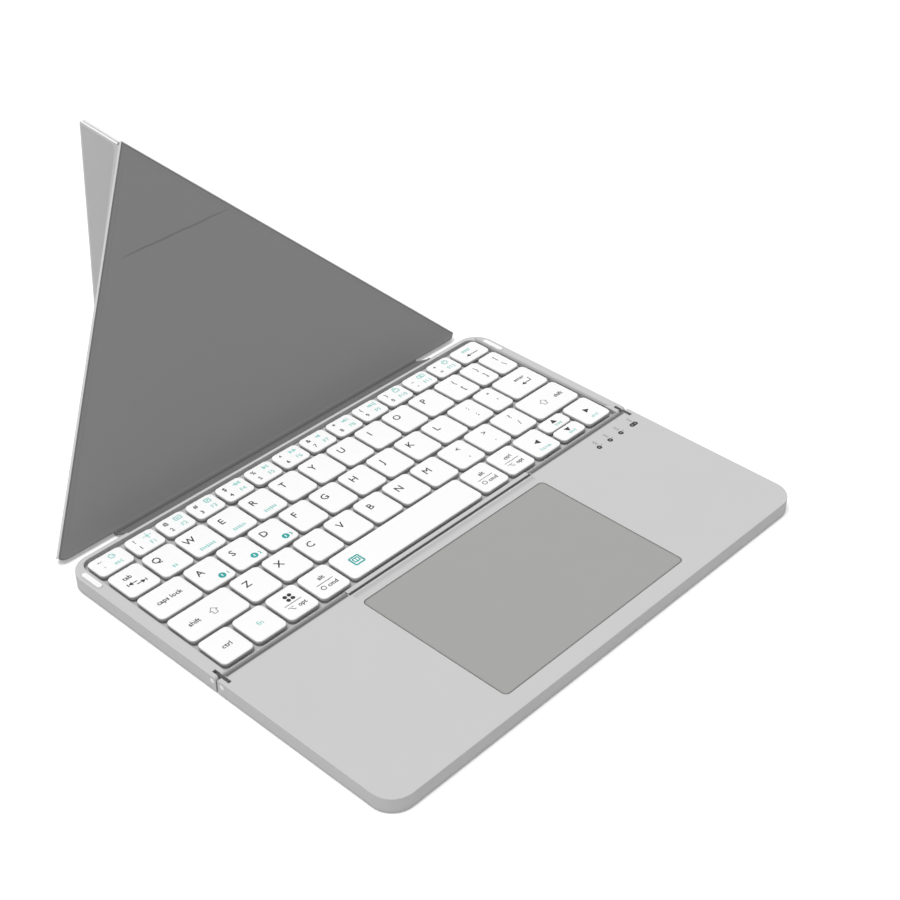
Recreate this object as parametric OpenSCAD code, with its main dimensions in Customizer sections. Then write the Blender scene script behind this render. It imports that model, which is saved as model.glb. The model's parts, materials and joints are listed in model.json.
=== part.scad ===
// Folding keyboard: two slim halves on a double hinge, a touch pad, and a cover that folds into a stand.
// X is to the right of the user, Y is away from the user, Z is up. Sizes are in millimetres.
// The pieces are written around the middle of the hinge, with the decks' tops at height 0, and the whole
// part is then set down so that the origin is the middle of its footprint on the table.

/* [Case] */
// Width of the keyboard and of the palm rest
case_w = 250; // [244:0.5:262]
// Depth of the keyboard half, from the middle of the hinge
keyboard_d = 96; // [95:0.5:104]
// Depth of the palm rest half, from the middle of the hinge
palmrest_d = 95; // [93:0.5:96]
// Thickness of each half
case_t = 6.8; // [6.4:0.1:8]
// Radius of the case's outer corners
case_corner_r = 10.5; // [9:0.5:12]
// Thickness of the outer walls
wall = 2; // [1.6:0.1:2.2]
// Thickness of the palm rest's deck
deck_t = 1.2; // [1:0.1:1.3]
// Thickness of the bottom covers
cover_t = 1; // [0.9:0.1:1.2]
// Gap around each bottom cover
cover_gap = 0.1; // [0.05:0.05:0.2]

/* [Hinge] */
// Radius of the hinge pins
pin_r = 1.15; // [1:0.05:1.2]
// Length of each hinge pin
pin_len = 5.4; // [5:0.1:5.6]
// Distance between the two pins of a link
pin_spacing = 5.6; // [5.5:0.1:6]
// Depth of the pins below the decks
pin_depth = 2.2; // [2.2:0.05:2.4]
// Radius of the rounded ears around the keyboard's pins
ear_r = 2.2; // [2:0.05:2.25]
// Radius of the links' round ends
link_r = 1.9; // [1.7:0.05:1.95]
// Thickness of a link
link_t = 1.5; // [1.2:0.1:1.6]
// Distance of the links from the case's sides
link_inset = 2; // [1.8:0.1:2.1]
// Running clearance of the links on their pins
pin_clear = 0.05; // [0.02:0.01:0.08]
// Clearance around the links in their slots
slot_clear = 0.15; // [0.1:0.05:0.2]
// Width of the middle stretch, where the keyboard's edge reaches over to the palm rest
tongue_w = 110.8; // [90:0.5:130]
// Distance of the keyboard's middle edge past the middle of the hinge
tongue_reach = 0.5; // [0.3:0.05:0.55]
// Distance of the palm rest's middle edge from the middle of the hinge
scoop_set = 1.4; // [1.3:0.05:2]
// Distance of the palm rest's end edges from the middle of the hinge
palm_edge_set = 0.2; // [0.2:0.05:0.5]
// Chamfer on the palm rest's end edges
palm_edge_chamfer = 0.45; // [0.45:0.05:0.7]

/* [Keys] */
// Distance of the block of keys from the case's sides
key_block_side = 6.2; // [6:0.05:7.5]
// Distance of the block's rear edge from the keyboard's rear edge
key_block_rear = 3.95; // [3.5:0.05:5]
// Distance of the block's front edge from the middle of the hinge
key_block_front = 2.45; // [2.2:0.05:2.8]
// Width of the escape key's place
escape_w = 19; // [17:0.5:21]
// Width of the backspace key's place
backspace_w = 19.4; // [17:0.1:21]
// Width of each of the two keys at the right end of the upper letter row
bracket_w = 13.5; // [12:0.5:15]
// Width of the caps lock key's place
caps_lock_w = 24; // [22:0.5:26]
// Width of the left shift key's place
shift_w = 32.5; // [30:0.5:35]
// Width of the quote key's place
quote_w = 13.5; // [12:0.5:15]
// Depth of the row of number keys
number_row_d = 13.6; // [12.6:0.1:14]
// Gap between neighbouring caps
key_gap = 1.5; // [1.1:0.1:1.8]
// Radius of the caps' corners
cap_r = 2.5; // [1.6:0.1:2.8]
// Height of a cap
cap_h = 1.55; // [1.4:0.05:1.6]
// Height of a cap's top above the deck
cap_proud = 0.4; // [0.2:0.05:0.5]
// Height and width of the step that stands for a cap's rounded edge
cap_edge = 0.4; // [0.2:0.05:0.5]
// Travel of a key
key_travel = 1.2; // [0.8:0.05:1.25]
// Radius of the plunger under a cap
plunger_r = 1.2; // [1:0.05:1.3]
// Clearance around a plunger
plunger_clear = 0.3; // [0.2:0.05:0.4]
// Wall of a rubber cup
cup_wall = 0.4; // [0.3:0.05:0.5]

/* [Well] */
// Distance of the well from the case's sides
well_side = 5.7; // [5.5:0.05:5.8]
// Distance of the well's front edge from the middle of the hinge
well_front = 1.6; // [1.5:0.05:1.7]
// Radius of the well's rear corners
well_r = 5; // [3:0.5:6]
// Depth of the key plate's top below the deck
plate_depth = 2.5; // [2.45:0.05:2.8]
// Thickness of the key plate
plate_t = 0.3; // [0.2:0.05:0.3]
// Thickness of the dome sheet
sheet_t = 0.3; // [0.2:0.05:0.3]

/* [Palm rest] */
// Width of the touch pad's opening
pad_w = 110.8; // [90:0.5:116]
// Depth of the touch pad's opening
pad_d = 78.4; // [60:0.5:80]
// Distance of the opening's rear edge from the middle of the hinge
pad_rear = 8.1; // [8:0.1:10]
// Radius of the touch pad's corners
pad_r = 2.5; // [1.5:0.1:4]
// Gap around the touch pad
pad_gap = 0.25; // [0.2:0.05:0.4]
// Thickness of the touch pad's plate
pad_t = 1.2; // [1:0.05:1.3]
// Drop of the touch pad's front edge at a click
pad_click = 0.3; // [0.2:0.05:0.35]
// Spacing of the first three indicator lights
light_pitch = 7.7; // [6:0.1:9]
// Distance of the last indicator light from the case's right side
light_side = 7.9; // [7.5:0.1:9]
// Gap between the third and the last indicator light
light_last_gap = 9.3; // [8:0.1:11]
// Distance of the indicator lights from the middle of the hinge
light_rear = 10.5; // [10:0.1:12]
// Radius of an indicator light
light_r = 1.2; // [0.8:0.1:1.4]

/* [Stand] */
// Width of the cover sheet
sheet_w = 246.8; // [240:0.2:248]
// Length of the cover sheet
sheet_l = 180; // [176:0.5:184]
// Height of the front triangle, along its face
apex_v = 151; // [147:0.5:153]
// Half of the distance between the two fins' middle planes
fin_offset = 0.9; // [0.9:0.05:1.2]
// Thickness of the cover sheet's board
board_t = 0.9; // [0.7:0.05:0.95]
// Thickness of each of the cover sheet's skins
skin_t = 0.25; // [0.2:0.01:0.26]
// Distance of the boards from the creases
board_set = 2.5; // [2.2:0.1:3.5]
// Distance of the skins from the creases
skin_set = 1.3; // [1.2:0.1:1.6]
// Radius of the cord inside each crease
cord_r = 0.3; // [0.25:0.05:0.35]
// Running clearance around that cord
cord_clear = 0.05; // [0.02:0.01:0.08]
// Thickness of the soft web beside that cord
web_t = 0.3; // [0.2:0.02:0.32]
// Distance of the cords from the creases' ends
cord_end = 14; // [13:0.5:20]
// Distance of the boards from the sheet's free edges
hem = 1.5; // [1:0.1:2.5]
// Radius of the sheet's corners beside the spine
sheet_r = 10; // [8:0.5:12]
// Distance of the soft crease across the panels from the spine
wrap_v = 105; // [98:0.5:108]
// Width of that crease
wrap_gap = 2.4; // [1.6:0.1:4]
// Height of the front's lower crease above the table
crease_lift = 0.8; // [0.75:0.05:1.2]
// Gap between the closed sheet and the feet that it lies on
close_gap = 0.3; // [0.2:0.05:0.6]
// Width of the soft spine that joins the stand to the case
spine_w = 185; // [150:1:200]
// Depth of the spine's pivot below the deck
spine_depth = 0.9; // [0.6:0.05:1.4]
// Distance of the spine's pivot behind the case
spine_back = 0.6; // [0.6:0.05:0.8]
// Thickness of the spine
spine_t = 0.8; // [0.6:0.05:0.8]
// Distance of the spine's strip from its creases
spine_set = 1.2; // [1:0.1:1.6]
// Thickness of the flap that is glued to the case
flap_t = 0.4; // [0.2:0.05:0.45]
// Radius of the magnets in the fins
fin_magnet_r = 4; // [3:0.5:5]

/* [Small parts] */
// Radius of a foot
foot_r = 5; // [4:0.5:6]
// Height of a foot below the case
foot_h = 0.5; // [0.4:0.05:0.6]
// Depth of a foot's pocket
foot_pocket = 0.3; // [0.2:0.05:0.4]
// Distance of the feet from the case's sides
foot_side = 15; // [13:0.5:20]
// Distance of the feet from the middle of the hinge, and from the outer edges
foot_end = 14; // [12:0.5:18]
// Length of a bumper pad
bumper_l = 12; // [8:0.5:14]
// Width of a bumper pad
bumper_w = 2.4; // [2:0.1:2.8]
// Height of a bumper pad above the deck
bumper_h = 0.5; // [0.3:0.05:0.6]
// Distance of the bumper pads' rear ends from the keyboard's rear edge
bumper_rear = 8.5; // [8:0.5:12]
// Distance of the bumper pads' middle from the case's sides
bumper_side = 3; // [2.8:0.1:3.2]
// Radius of the cover screws' shanks
screw_r = 0.7; // [0.6:0.05:0.8]
// Radius of the cover screws' heads
screw_head_r = 1.5; // [1.3:0.05:1.7]
// Height of the cover screws' heads
screw_head_h = 0.5; // [0.4:0.05:0.6]
// Radius of the bosses around the screws
boss_r = 2; // [1.8:0.1:2.2]
// Thickness of the battery
battery_t = 3.2; // [2.5:0.1:3.4]
// Length of the battery
battery_l = 58; // [50:1:60]
// Width of the battery
battery_w = 50; // [40:1:54]
// Thickness of the circuit boards
board_pcb_t = 0.8; // [0.6:0.05:0.9]
// Width of the charge port
port_w = 8.9; // [8.8:0.05:9.2]
// Height of the charge port
port_h = 3.2; // [3:0.05:3.25]
// Length of the charge port
port_l = 7.3; // [6.5:0.1:8]
// Wall of the charge port's metal shell
port_wall = 0.3; // [0.2:0.05:0.35]
// Distance of the charge port from the middle of the hinge
port_rear = 62; // [40:0.5:64]

/* [Hidden] */
$fn = 48;
eps = 0.01;
side_x = case_w / 2;
pin_y = pin_spacing / 2;
pin_z = -pin_depth;
floor_z = -case_t;
cover_top = floor_z + cover_t;
table_z = floor_z - foot_h;
ear_y = pin_y - ear_r;
slot_r = link_r + slot_clear;
slot_w = link_t + slot_clear;
press_gap = 0.02;
slot_hi = side_x - link_inset + slot_clear / 2;
slot_lo = slot_hi - slot_w;
slot_run = 2 * pin_y + link_r;
well_x = side_x - well_side;
ear_block_y = pin_y + slot_r + 2 * wall;
tongue_gap = 0.4;
magnet_w = 2.6;
magnet_l = 9;
magnet_t = 1.2;
key_magnet_x = side_x - wall - magnet_w / 2 - 0.4;
magnet_y = min(keyboard_d, palmrest_d) - case_corner_r - magnet_l / 2;
screw_side = 45;
palm_screw_side = 35;
palm_screw_front = 5;
palm_screw_rear = 14;
palm_screw_x = side_x - palm_screw_side;
palm_screw_top = -deck_t - 1.5 * screw_r;
pad_screw_x = pad_w / 2 + boss_r + 1.2;
palm_screw_spots = [for (x = [-palm_screw_x, -palm_screw_x / 3, palm_screw_x / 3, palm_screw_x])
                        [x, palm_screw_front - palmrest_d],
                    [-pad_screw_x, -palm_screw_rear], [pad_screw_x, -palm_screw_rear]];
key_board_w = 80;
key_board_l = 24;
key_board_side = 65;
key_board_rear = 32;
palm_inside_set = 5;
pad_sink = 0.05;
pad_middle_y = -pad_rear - pad_d / 2;
pad_board_set = 4;
pad_board_z = -pad_sink - pad_t - board_pcb_t;
pad_ledge_top = pad_board_z - 0.1;
pad_ledge_w = 90;
pad_axis_y = -pad_rear - pad_gap - 1.2;
switch_w = 4;
switch_z = pad_board_z - 1.1;
switch_y = pad_middle_y - pad_d / 2 + 10;
switch_post_top = switch_z - pad_click - 0.05;
battery_side = 8;
battery_front = 24;
main_board_w = 50;
main_board_l = 64;
main_board_rear = 9.1;
port_z = cover_top + board_pcb_t + port_h / 2;
port_gap = 0.2;
port_back = 1.2;
port_tongue_w = 6.6;
port_tongue_t = 0.7;
light_last_x = side_x - light_side;
light_xs = [light_last_x, for (k = [0 : 2]) light_last_x - light_last_gap - k * light_pitch];

// the keys' block: one list of place widths for each row, from the front row to the number row
key_block_w = case_w - 2 * key_block_side;
key_unit = (key_block_w - 2 * bracket_w) / 12;
number_unit = (key_block_w - escape_w - backspace_w) / 12;
row_d = (keyboard_d - key_block_rear - key_block_front - number_row_d) / 4;
bottom_row = [key_unit, key_unit, key_unit, key_unit, key_block_w - 9 * key_unit,
              key_unit, key_unit, key_unit, key_unit, key_unit];
lower_row = concat([shift_w], [for (i = [1 : 10]) key_unit], [key_block_w - shift_w - 10 * key_unit]);
home_row = concat([caps_lock_w], [for (i = [1 : 10]) key_unit],
                  [quote_w, key_block_w - caps_lock_w - quote_w - 10 * key_unit]);
upper_row = concat([for (i = [1 : 12]) key_unit], [bracket_w, bracket_w]);
number_row = concat([escape_w], [for (i = [1 : 12]) number_unit], [backspace_w]);
rows = [bottom_row, lower_row, home_row, upper_row, number_row];
space_index = 4;
split_index = 8;

function sum_to(list, n) = n <= 0 ? 0 : list[n - 1] + sum_to(list, n - 1);
function place_d(r) = r < 4 ? row_d : number_row_d;
function place_x(r, i) = -key_block_w / 2 + sum_to(rows[r], i);
function place_y(r) = key_block_front + r * row_d;
function cap_w(r, i) = rows[r][i] - key_gap;
function centre_x(r, i) = place_x(r, i) + rows[r][i] / 2;
function centre_y(r) = place_y(r) + place_d(r) / 2;
// half-height caps of the up and down arrows: which is 1 for up and -1 for down
function half_cap_d() = (row_d - 2 * key_gap + key_gap / 2) / 2;
function half_centre_y(which) = centre_y(0) + which * (half_cap_d() + key_gap / 2) / 2;
// plungers: the space bar has three, the others one
plunger_spread = 26;
function plunger_spots(r, i) =
    r == 0 && i == space_index ? [for (k = [-1 : 1]) [centre_x(r, i) + k * plunger_spread, centre_y(r)]]
    : r == 0 && i == split_index ? [for (w = [-1, 1]) [centre_x(r, i), half_centre_y(w)]]
    : [[centre_x(r, i), centre_y(r)]];
screw_x = side_x - screw_side;
screw_spots = [for (x = [-screw_x, 0, screw_x]) for (r = [1, 4]) [x, place_y(r)]];
all_plungers = [for (r = [0 : 4]) for (i = [0 : len(rows[r]) - 1]) for (p = plunger_spots(r, i)) p];

cap_top = cap_proud;
cap_bottom = cap_proud - cap_h;
plate_top = -plate_depth;
plate_bottom = plate_top - plate_t;
sheet_bottom = plate_bottom - sheet_t;
plunger_end = plate_top - plate_t / 2;
cup_r = plunger_r + plunger_clear;
cup_floor = plunger_end - key_travel - 0.1;
cup_bottom = cup_floor - cup_wall;

// the stand: half widths, fold angles and lean of a sheet that folds flat
sheet_x = sheet_w / 2;
fold_w = sheet_x - fin_offset;
edge_l2 = fold_w * fold_w + apex_v * apex_v;
wing_fold = acos(1 - edge_l2 / (sheet_l * apex_v));
base_l = sqrt(sheet_l * sheet_l - fold_w * fold_w);
crease_l2 = (sheet_l - apex_v) * (sheet_l - apex_v) + fold_w * fold_w;
lean = acos((base_l * base_l + apex_v * apex_v - crease_l2) / (2 * base_l * apex_v));
panel_t = board_t + 2 * skin_t;
corner_a = [-sheet_x, 0];
corner_c = [-fin_offset, apex_v];
corner_p = [-sheet_x, sheet_l];
corner_d = [-fin_offset, sheet_l];
crease_z = table_z + crease_lift;
spine_y = keyboard_d + spine_back;
spine_z = -spine_depth;
closed_top = pin_spacing - 2 * pin_depth + case_t + foot_h;
spine_len = closed_top + close_gap + panel_t / 2 - spine_z;
crease_y = spine_y + sqrt(spine_len * spine_len - (spine_z - crease_z) * (spine_z - crease_z));
spine_slope = atan((spine_z - crease_z) / (crease_y - spine_y));

// turns a point around a line through "from" along "along" by an angle
function unit(v) = v / norm(v);
function turned(p, from, along, angle) =
    let (k = unit(along), q = p - from)
    from + q * cos(angle) + cross(k, q) * sin(angle) + k * (k * q) * (1 - cos(angle));
function flat3(p) = [p[0], p[1], 0];
wing_axis = flat3(corner_c) - flat3(corner_a);
fin_axis = flat3(corner_p) - flat3(corner_c);
function on_wing(p) = turned(p, flat3(corner_a), wing_axis, -wing_fold);
// the fin's fold is the angle that brings the corner D back beside the middle plane
fold_d = flat3(corner_d) - flat3(corner_c);
fin_k = unit(fin_axis);
function with_wing(v) = turned(v, [0, 0, 0], wing_axis, -wing_fold);
d_along = with_wing(fin_k * (fin_k * fold_d));
d_across = with_wing(fold_d - fin_k * (fin_k * fold_d));
d_normal = with_wing(cross(fin_k, fold_d));
fin_reach = norm([d_across[0], d_normal[0]]);
fin_fold = atan2(d_normal[0], d_across[0]) - acos(-d_along[0] / fin_reach);
function on_fin(p) = on_wing(turned(p, flat3(corner_c), fin_axis, fin_fold));
function in_world(p) = [p[0], crease_y + p[1] * cos(lean) - p[2] * sin(lean),
                        crease_z + p[1] * sin(lean) + p[2] * cos(lean)];
fin_magnet_x = -fin_offset - fin_magnet_r - 6;
fin_magnet_v = (apex_v + sheet_l) / 2 + 2;

// a panel's outline moved in by a distance for each edge, from a polygon that turns left
function inset_corner(p, q, r, dp, dq) =
    let (u = unit(q - p), v = unit(r - q), n = [-u[1], u[0]], m = [-v[1], v[0]],
         det = n[0] * m[1] - n[1] * m[0])
    q + [(dp * m[1] - dq * n[1]) / det, (dq * n[0] - dp * m[0]) / det];
function inset(points, d) =
    let (n = len(points))
    [for (i = [0 : n - 1])
        inset_corner(points[(i + n - 1) % n], points[i], points[(i + 1) % n], d[(i + n - 1) % n], d[i])];

// the panels' outlines, and the distance of their skins from each edge: a crease or a free edge
front_points = [corner_a, [sheet_x, 0], [0, apex_v * sheet_x / fold_w]];
wing_points = [corner_a, corner_c, corner_p];
fin_points = [corner_c, corner_d, corner_p];
front_edges = [skin_set, skin_set, skin_set];
wing_edges = [skin_set, skin_set, 0];
fin_edges = [skin_set, 0, skin_set];
wing_corner = inset(wing_points, wing_edges)[2];
fin_corner = inset(fin_points, fin_edges)[2];
rear_points = concat([for (n = [-1, 1]) on_wing(concat(wing_corner, [n * panel_t / 2]))],
                     [for (n = [-1, 1]) on_fin(concat(fin_corner, [n * panel_t / 2]))]);
stand_rear_y = max([for (p = rear_points) in_world(p)[1]]);
middle_y = (stand_rear_y - palmrest_d) / 2;

// shared shapes

// sets the part down with its origin in the middle of its footprint
module placed() {
    translate([0, -middle_y, -table_z]) children();
}

// a rectangle with round corners, around the origin
module rounded(w, d, r) {
    square([w - 2 * r, d], center = true);
    square([w, d - 2 * r], center = true);
    for (x = [-1, 1]) {
        for (y = [-1, 1]) {
            translate([x * (w / 2 - r), y * (d / 2 - r)]) circle(r);
        }
    }
}

// a half's outline from y0 to y1, with round corners at y1
module half_outline(w, y0, y1, r) {
    translate([-w / 2, y0]) square([w, y1 - r - y0]);
    translate([-w / 2 + r, y0]) square([w - 2 * r, y1 - y0]);
    for (x = [-1, 1]) {
        translate([x * (w / 2 - r), y1 - r]) circle(r);
    }
}

// the inside of a half, seen from above: narrower beside the hinge's ears
module inside_outline(front, rear, inset) {
    half_outline(case_w - 2 * wall - 2 * inset, ear_block_y + inset, rear - wall - inset,
                 case_corner_r - wall - inset);
    translate([-well_x + inset, front + inset]) {
        square([2 * (well_x - inset), ear_block_y - front + 1]);
    }
}

// a bar along X with its axis at y and z
module bar(x0, x1, y, z, r) {
    translate([x0, y, z]) rotate([0, 90, 0]) cylinder(r = r, h = x1 - x0);
}

// what rounds off an upper edge that runs along X, on the side of the axis that side gives
module round_off(x0, x1, y, z, r, side) {
    difference() {
        translate([x0, side > 0 ? y : y - r - 1, z]) cube([x1 - x0, r + 1, -z + 1]);
        bar(x0 - 1, x1 + 1, y, z, r);
    }
}

// the slot of a link in one half; side is 1 for the keyboard and -1 for the palm rest
module link_slot(side) {
    for (x = [-1, 1]) {
        x0 = x > 0 ? slot_lo : -slot_hi;
        bar(x0, x0 + slot_w, side * pin_y, pin_z, slot_r);
        translate([x0, side > 0 ? pin_y - slot_run : -pin_y, pin_z - slot_r]) {
            cube([slot_w, slot_run, slot_r - pin_z + 1]);
        }
        translate([x0, side > 0 ? pin_y - eps : -pin_y - slot_r, pin_z]) {
            cube([slot_w, slot_r + eps, 1 - pin_z]);
        }
    }
}

// both pins of one half, or their bores where r is wider
module pins(side, r, extra) {
    bar(side_x - pin_len - extra, side_x + extra, side * pin_y, pin_z, r);
    bar(-side_x - extra, -side_x + pin_len + extra, side * pin_y, pin_z, r);
}

// keyboard half

module frame_bosses(h) {
    for (p = screw_spots) {
        translate([p[0], p[1], cover_top]) cylinder(r = boss_r, h = h);
    }
}

module keyboard_frame() {
    color([0.8, 0.8, 0.8]) placed() difference() {
        translate([0, 0, floor_z]) linear_extrude(case_t) {
            half_outline(case_w, ear_y, keyboard_d, case_corner_r);
            translate([-tongue_w / 2, -tongue_reach]) square([tongue_w, ear_y + tongue_reach + 1]);
        }
        round_off(tongue_w / 2, side_x + 1, pin_y, pin_z, ear_r, -1);
        round_off(-side_x - 1, -tongue_w / 2, pin_y, pin_z, ear_r, -1);
        translate([0, 0, plate_top - 1]) linear_extrude(plate_depth + 2) {
            half_outline(2 * well_x, well_front, keyboard_d - wall, well_r);
        }
        translate([0, 0, floor_z - 1]) linear_extrude(plate_top - floor_z + 1) {
            inside_outline(well_front, keyboard_d, 0);
        }
        link_slot(1);
        pins(1, pin_r + press_gap, eps);
        for (x = [-1, 1]) {
            translate([x * key_magnet_x, magnet_y, plate_top - 1 + magnet_t / 2]) {
                cube([magnet_w + 2 * press_gap, magnet_l + 2 * press_gap, magnet_t + 2], center = true);
            }
        }
    }
}

module keyboard_bottom_cover() {
    color([0.72, 0.72, 0.72]) placed() difference() {
        union() {
            translate([0, 0, floor_z]) linear_extrude(cover_t) inside_outline(well_front, keyboard_d, cover_gap);
            frame_bosses(sheet_bottom - cover_top);
        }
        for (p = screw_spots) {
            translate([p[0], p[1], floor_z - 1]) cylinder(r = screw_r + press_gap, h = case_t);
            translate([p[0], p[1], floor_z - 1]) cylinder(r = screw_head_r + press_gap, h = screw_head_h + 1);
        }
        foot_pockets(1);
    }
}

module screws(spots, top) {
    for (p = spots) {
        translate([p[0], p[1], floor_z]) cylinder(r = screw_head_r, h = screw_head_h);
        translate([p[0], p[1], floor_z]) cylinder(r = screw_r, h = top - floor_z);
    }
}

module foot_spots(side) {
    for (x = [-1, 1]) {
        for (y = [foot_end, (side > 0 ? keyboard_d : palmrest_d) - foot_end]) {
            translate([x * (side_x - foot_side), side * y, 0]) children();
        }
    }
}

module foot_pockets(side) {
    foot_spots(side) translate([0, 0, floor_z - 1]) cylinder(r = foot_r + press_gap, h = foot_pocket + 1);
}

module feet(side) {
    foot_spots(side) translate([0, 0, table_z]) cylinder(r = foot_r, h = foot_h + foot_pocket);
}

module key_plate() {
    color([0.7, 0.7, 0.71]) placed() difference() {
        translate([0, 0, plate_bottom]) linear_extrude(plate_t) inside_outline(well_front, keyboard_d, cover_gap);
        for (p = all_plungers) {
            translate([p[0], p[1], plate_bottom - 1]) cylinder(r = plunger_r + plunger_clear, h = plate_t + 2);
        }
        for (p = screw_spots) {
            translate([p[0], p[1], plate_bottom - 1]) cylinder(r = screw_r + press_gap, h = plate_t + 2);
        }
    }
}

module dome_sheet() {
    color([0.86, 0.84, 0.78]) placed() difference() {
        union() {
            translate([0, 0, sheet_bottom]) linear_extrude(sheet_t) inside_outline(well_front, keyboard_d, cover_gap);
            for (p = all_plungers) {
                translate([p[0], p[1], cup_bottom]) cylinder(r = cup_r + cup_wall, h = sheet_bottom - cup_bottom + eps);
            }
        }
        for (p = all_plungers) {
            translate([p[0], p[1], cup_floor]) cylinder(r = cup_r, h = plate_bottom - cup_floor + 1);
        }
        for (p = screw_spots) {
            translate([p[0], p[1], sheet_bottom - 1]) cylinder(r = screw_r + press_gap, h = sheet_t + 2);
        }
    }
}

module keyboard_circuit_board() {
    color([0.1, 0.35, 0.2]) placed() {
        translate([-side_x + key_board_side, keyboard_d - key_board_rear - key_board_l, cover_top]) {
            cube([key_board_w, key_board_l, board_pcb_t]);
        }
    }
}

module keyboard_feet() {
    color([0.45, 0.45, 0.45]) placed() feet(1);
}

module bumper_pads() {
    color("white") placed() {
        for (x = [-1, 1]) {
            translate([x * (side_x - bumper_side), keyboard_d - bumper_rear - bumper_l / 2, 0]) {
                linear_extrude(bumper_h) rounded(bumper_w, bumper_l, bumper_w / 2 - eps);
            }
        }
    }
}

module keyboard_hinge_pins() {
    color([0.85, 0.85, 0.86]) placed() pins(1, pin_r, 0);
}

module keyboard_screws() {
    color([0.6, 0.6, 0.62]) placed() screws(screw_spots, plate_top);
}

module keyboard_magnets() {
    color([0.5, 0.5, 0.52]) placed() {
        for (x = [-1, 1]) {
            translate([x * key_magnet_x, magnet_y, plate_top + magnet_t / 2]) {
                cube([magnet_w, magnet_l, magnet_t], center = true);
            }
        }
    }
}

module stand_flap() {
    color([0.45, 0.45, 0.45]) placed() {
        translate([-spine_w / 2, keyboard_d, cover_top]) cube([spine_w, flap_t, spine_z - cover_top]);
        bar(-spine_w / 2, spine_w / 2, spine_y, spine_z, cord_r);
    }
}

// keys

module cap(x, y, w, d) {
    translate([x, y, cap_bottom]) {
        linear_extrude(cap_h - cap_edge) rounded(w, d, cap_r);
        linear_extrude(cap_h) rounded(w - 2 * cap_edge, d - 2 * cap_edge, cap_r - cap_edge);
    }
}

module plunger(p) {
    translate([p[0], p[1], plunger_end]) cylinder(r = plunger_r, h = cap_top - cap_edge - plunger_end);
}

module key(r, i) {
    color("white") placed() {
        cap(centre_x(r, i), centre_y(r), cap_w(r, i), place_d(r) - key_gap);
        for (p = plunger_spots(r, i)) {
            plunger(p);
        }
    }
}

module half_key(which) {
    color("white") placed() {
        cap(centre_x(0, split_index), half_centre_y(which), cap_w(0, split_index), half_cap_d());
        plunger([centre_x(0, split_index), half_centre_y(which)]);
    }
}

module keys(r, first, last) {
    for (i = [first : last]) {
        key(r, i);
    }
}

// hinge links

module hinge_links() {
    color([0.3, 0.3, 0.31]) placed() {
        for (x0 = [side_x - link_inset - link_t, -side_x + link_inset]) {
            difference() {
                union() {
                    bar(x0, x0 + link_t, pin_y, pin_z, link_r);
                    bar(x0, x0 + link_t, -pin_y, pin_z, link_r);
                    translate([x0, -pin_y, pin_z - link_r]) cube([link_t, 2 * pin_y, 2 * link_r]);
                }
                bar(x0 - 1, x0 + link_t + 1, pin_y, pin_z, pin_r + pin_clear);
                bar(x0 - 1, x0 + link_t + 1, -pin_y, pin_z, pin_r + pin_clear);
            }
        }
    }
}

// palm rest half

module palmrest_outline() {
    mirror([0, 1, 0]) difference() {
        half_outline(case_w, palm_edge_set, palmrest_d, case_corner_r);
        translate([-tongue_w / 2 - tongue_gap, -1]) square([tongue_w + 2 * tongue_gap, scoop_set + 1]);
    }
}

module edge_chamfer() {
    rotate([90, 0, 90]) linear_extrude(case_w + 2, center = true) {
        polygon([[-palm_edge_set, -palm_edge_chamfer], [-palm_edge_set + 1, -palm_edge_chamfer],
                 [-palm_edge_set + 1, 1], [-palm_edge_set - palm_edge_chamfer * 0.8, 1],
                 [-palm_edge_set - palm_edge_chamfer * 0.8, 0]]);
    }
}

module palmrest_top_shell() {
    color([0.8, 0.8, 0.8]) placed() difference() {
        union() {
            difference() {
                translate([0, 0, floor_z]) linear_extrude(case_t) palmrest_outline();
                translate([0, 0, floor_z - 1]) linear_extrude(case_t - deck_t + 1) {
                    mirror([0, 1, 0]) inside_outline(palm_inside_set, palmrest_d, 0);
                }
            }
            for (p = palm_screw_spots) {
                translate([p[0], p[1], cover_top]) cylinder(r = boss_r, h = -cover_top - deck_t / 2);
            }
            translate([-pad_ledge_w / 2, pad_axis_y, pad_ledge_top - deck_t]) {
                cube([pad_ledge_w, -palm_inside_set - pad_axis_y + eps, deck_t]);
            }
        }
        edge_chamfer();
        round_off(-tongue_w / 2 - tongue_gap, tongue_w / 2 + tongue_gap, -pin_y, pin_z, ear_r, 1);
        translate([0, pad_middle_y, pad_ledge_top]) linear_extrude(-pad_ledge_top + 1) rounded(pad_w, pad_d, pad_r);
        link_slot(-1);
        pins(-1, pin_r + press_gap, eps);
        for (x = light_xs) {
            translate([x, -light_rear, floor_z]) cylinder(r = light_r + press_gap, h = case_t + 1);
        }
        translate([side_x - wall - 1, -port_rear, port_z]) rotate([90, 0, 90]) linear_extrude(wall + 2) {
            rounded(port_w + 2 * port_gap, port_h + 2 * port_gap, port_h / 2 - port_gap);
        }
        for (p = palm_screw_spots) {
            translate([p[0], p[1], floor_z - 1]) {
                cylinder(r = screw_r + press_gap, h = palm_screw_top + press_gap - floor_z + 1);
            }
        }
    }
}

module palmrest_bottom_cover() {
    color([0.72, 0.72, 0.72]) placed() difference() {
        union() {
            translate([0, 0, floor_z]) linear_extrude(cover_t) {
                mirror([0, 1, 0]) inside_outline(palm_inside_set, palmrest_d, cover_gap);
            }
            translate([0, switch_y, cover_top - eps]) cylinder(r = foot_r / 2, h = switch_post_top - cover_top + eps);
        }
        for (p = palm_screw_spots) {
            translate([p[0], p[1], floor_z - 1]) cylinder(r = screw_r + press_gap, h = cover_t + 2);
            translate([p[0], p[1], floor_z - 1]) cylinder(r = screw_head_r + press_gap, h = screw_head_h + 1);
        }
        foot_pockets(-1);
    }
}

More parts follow.
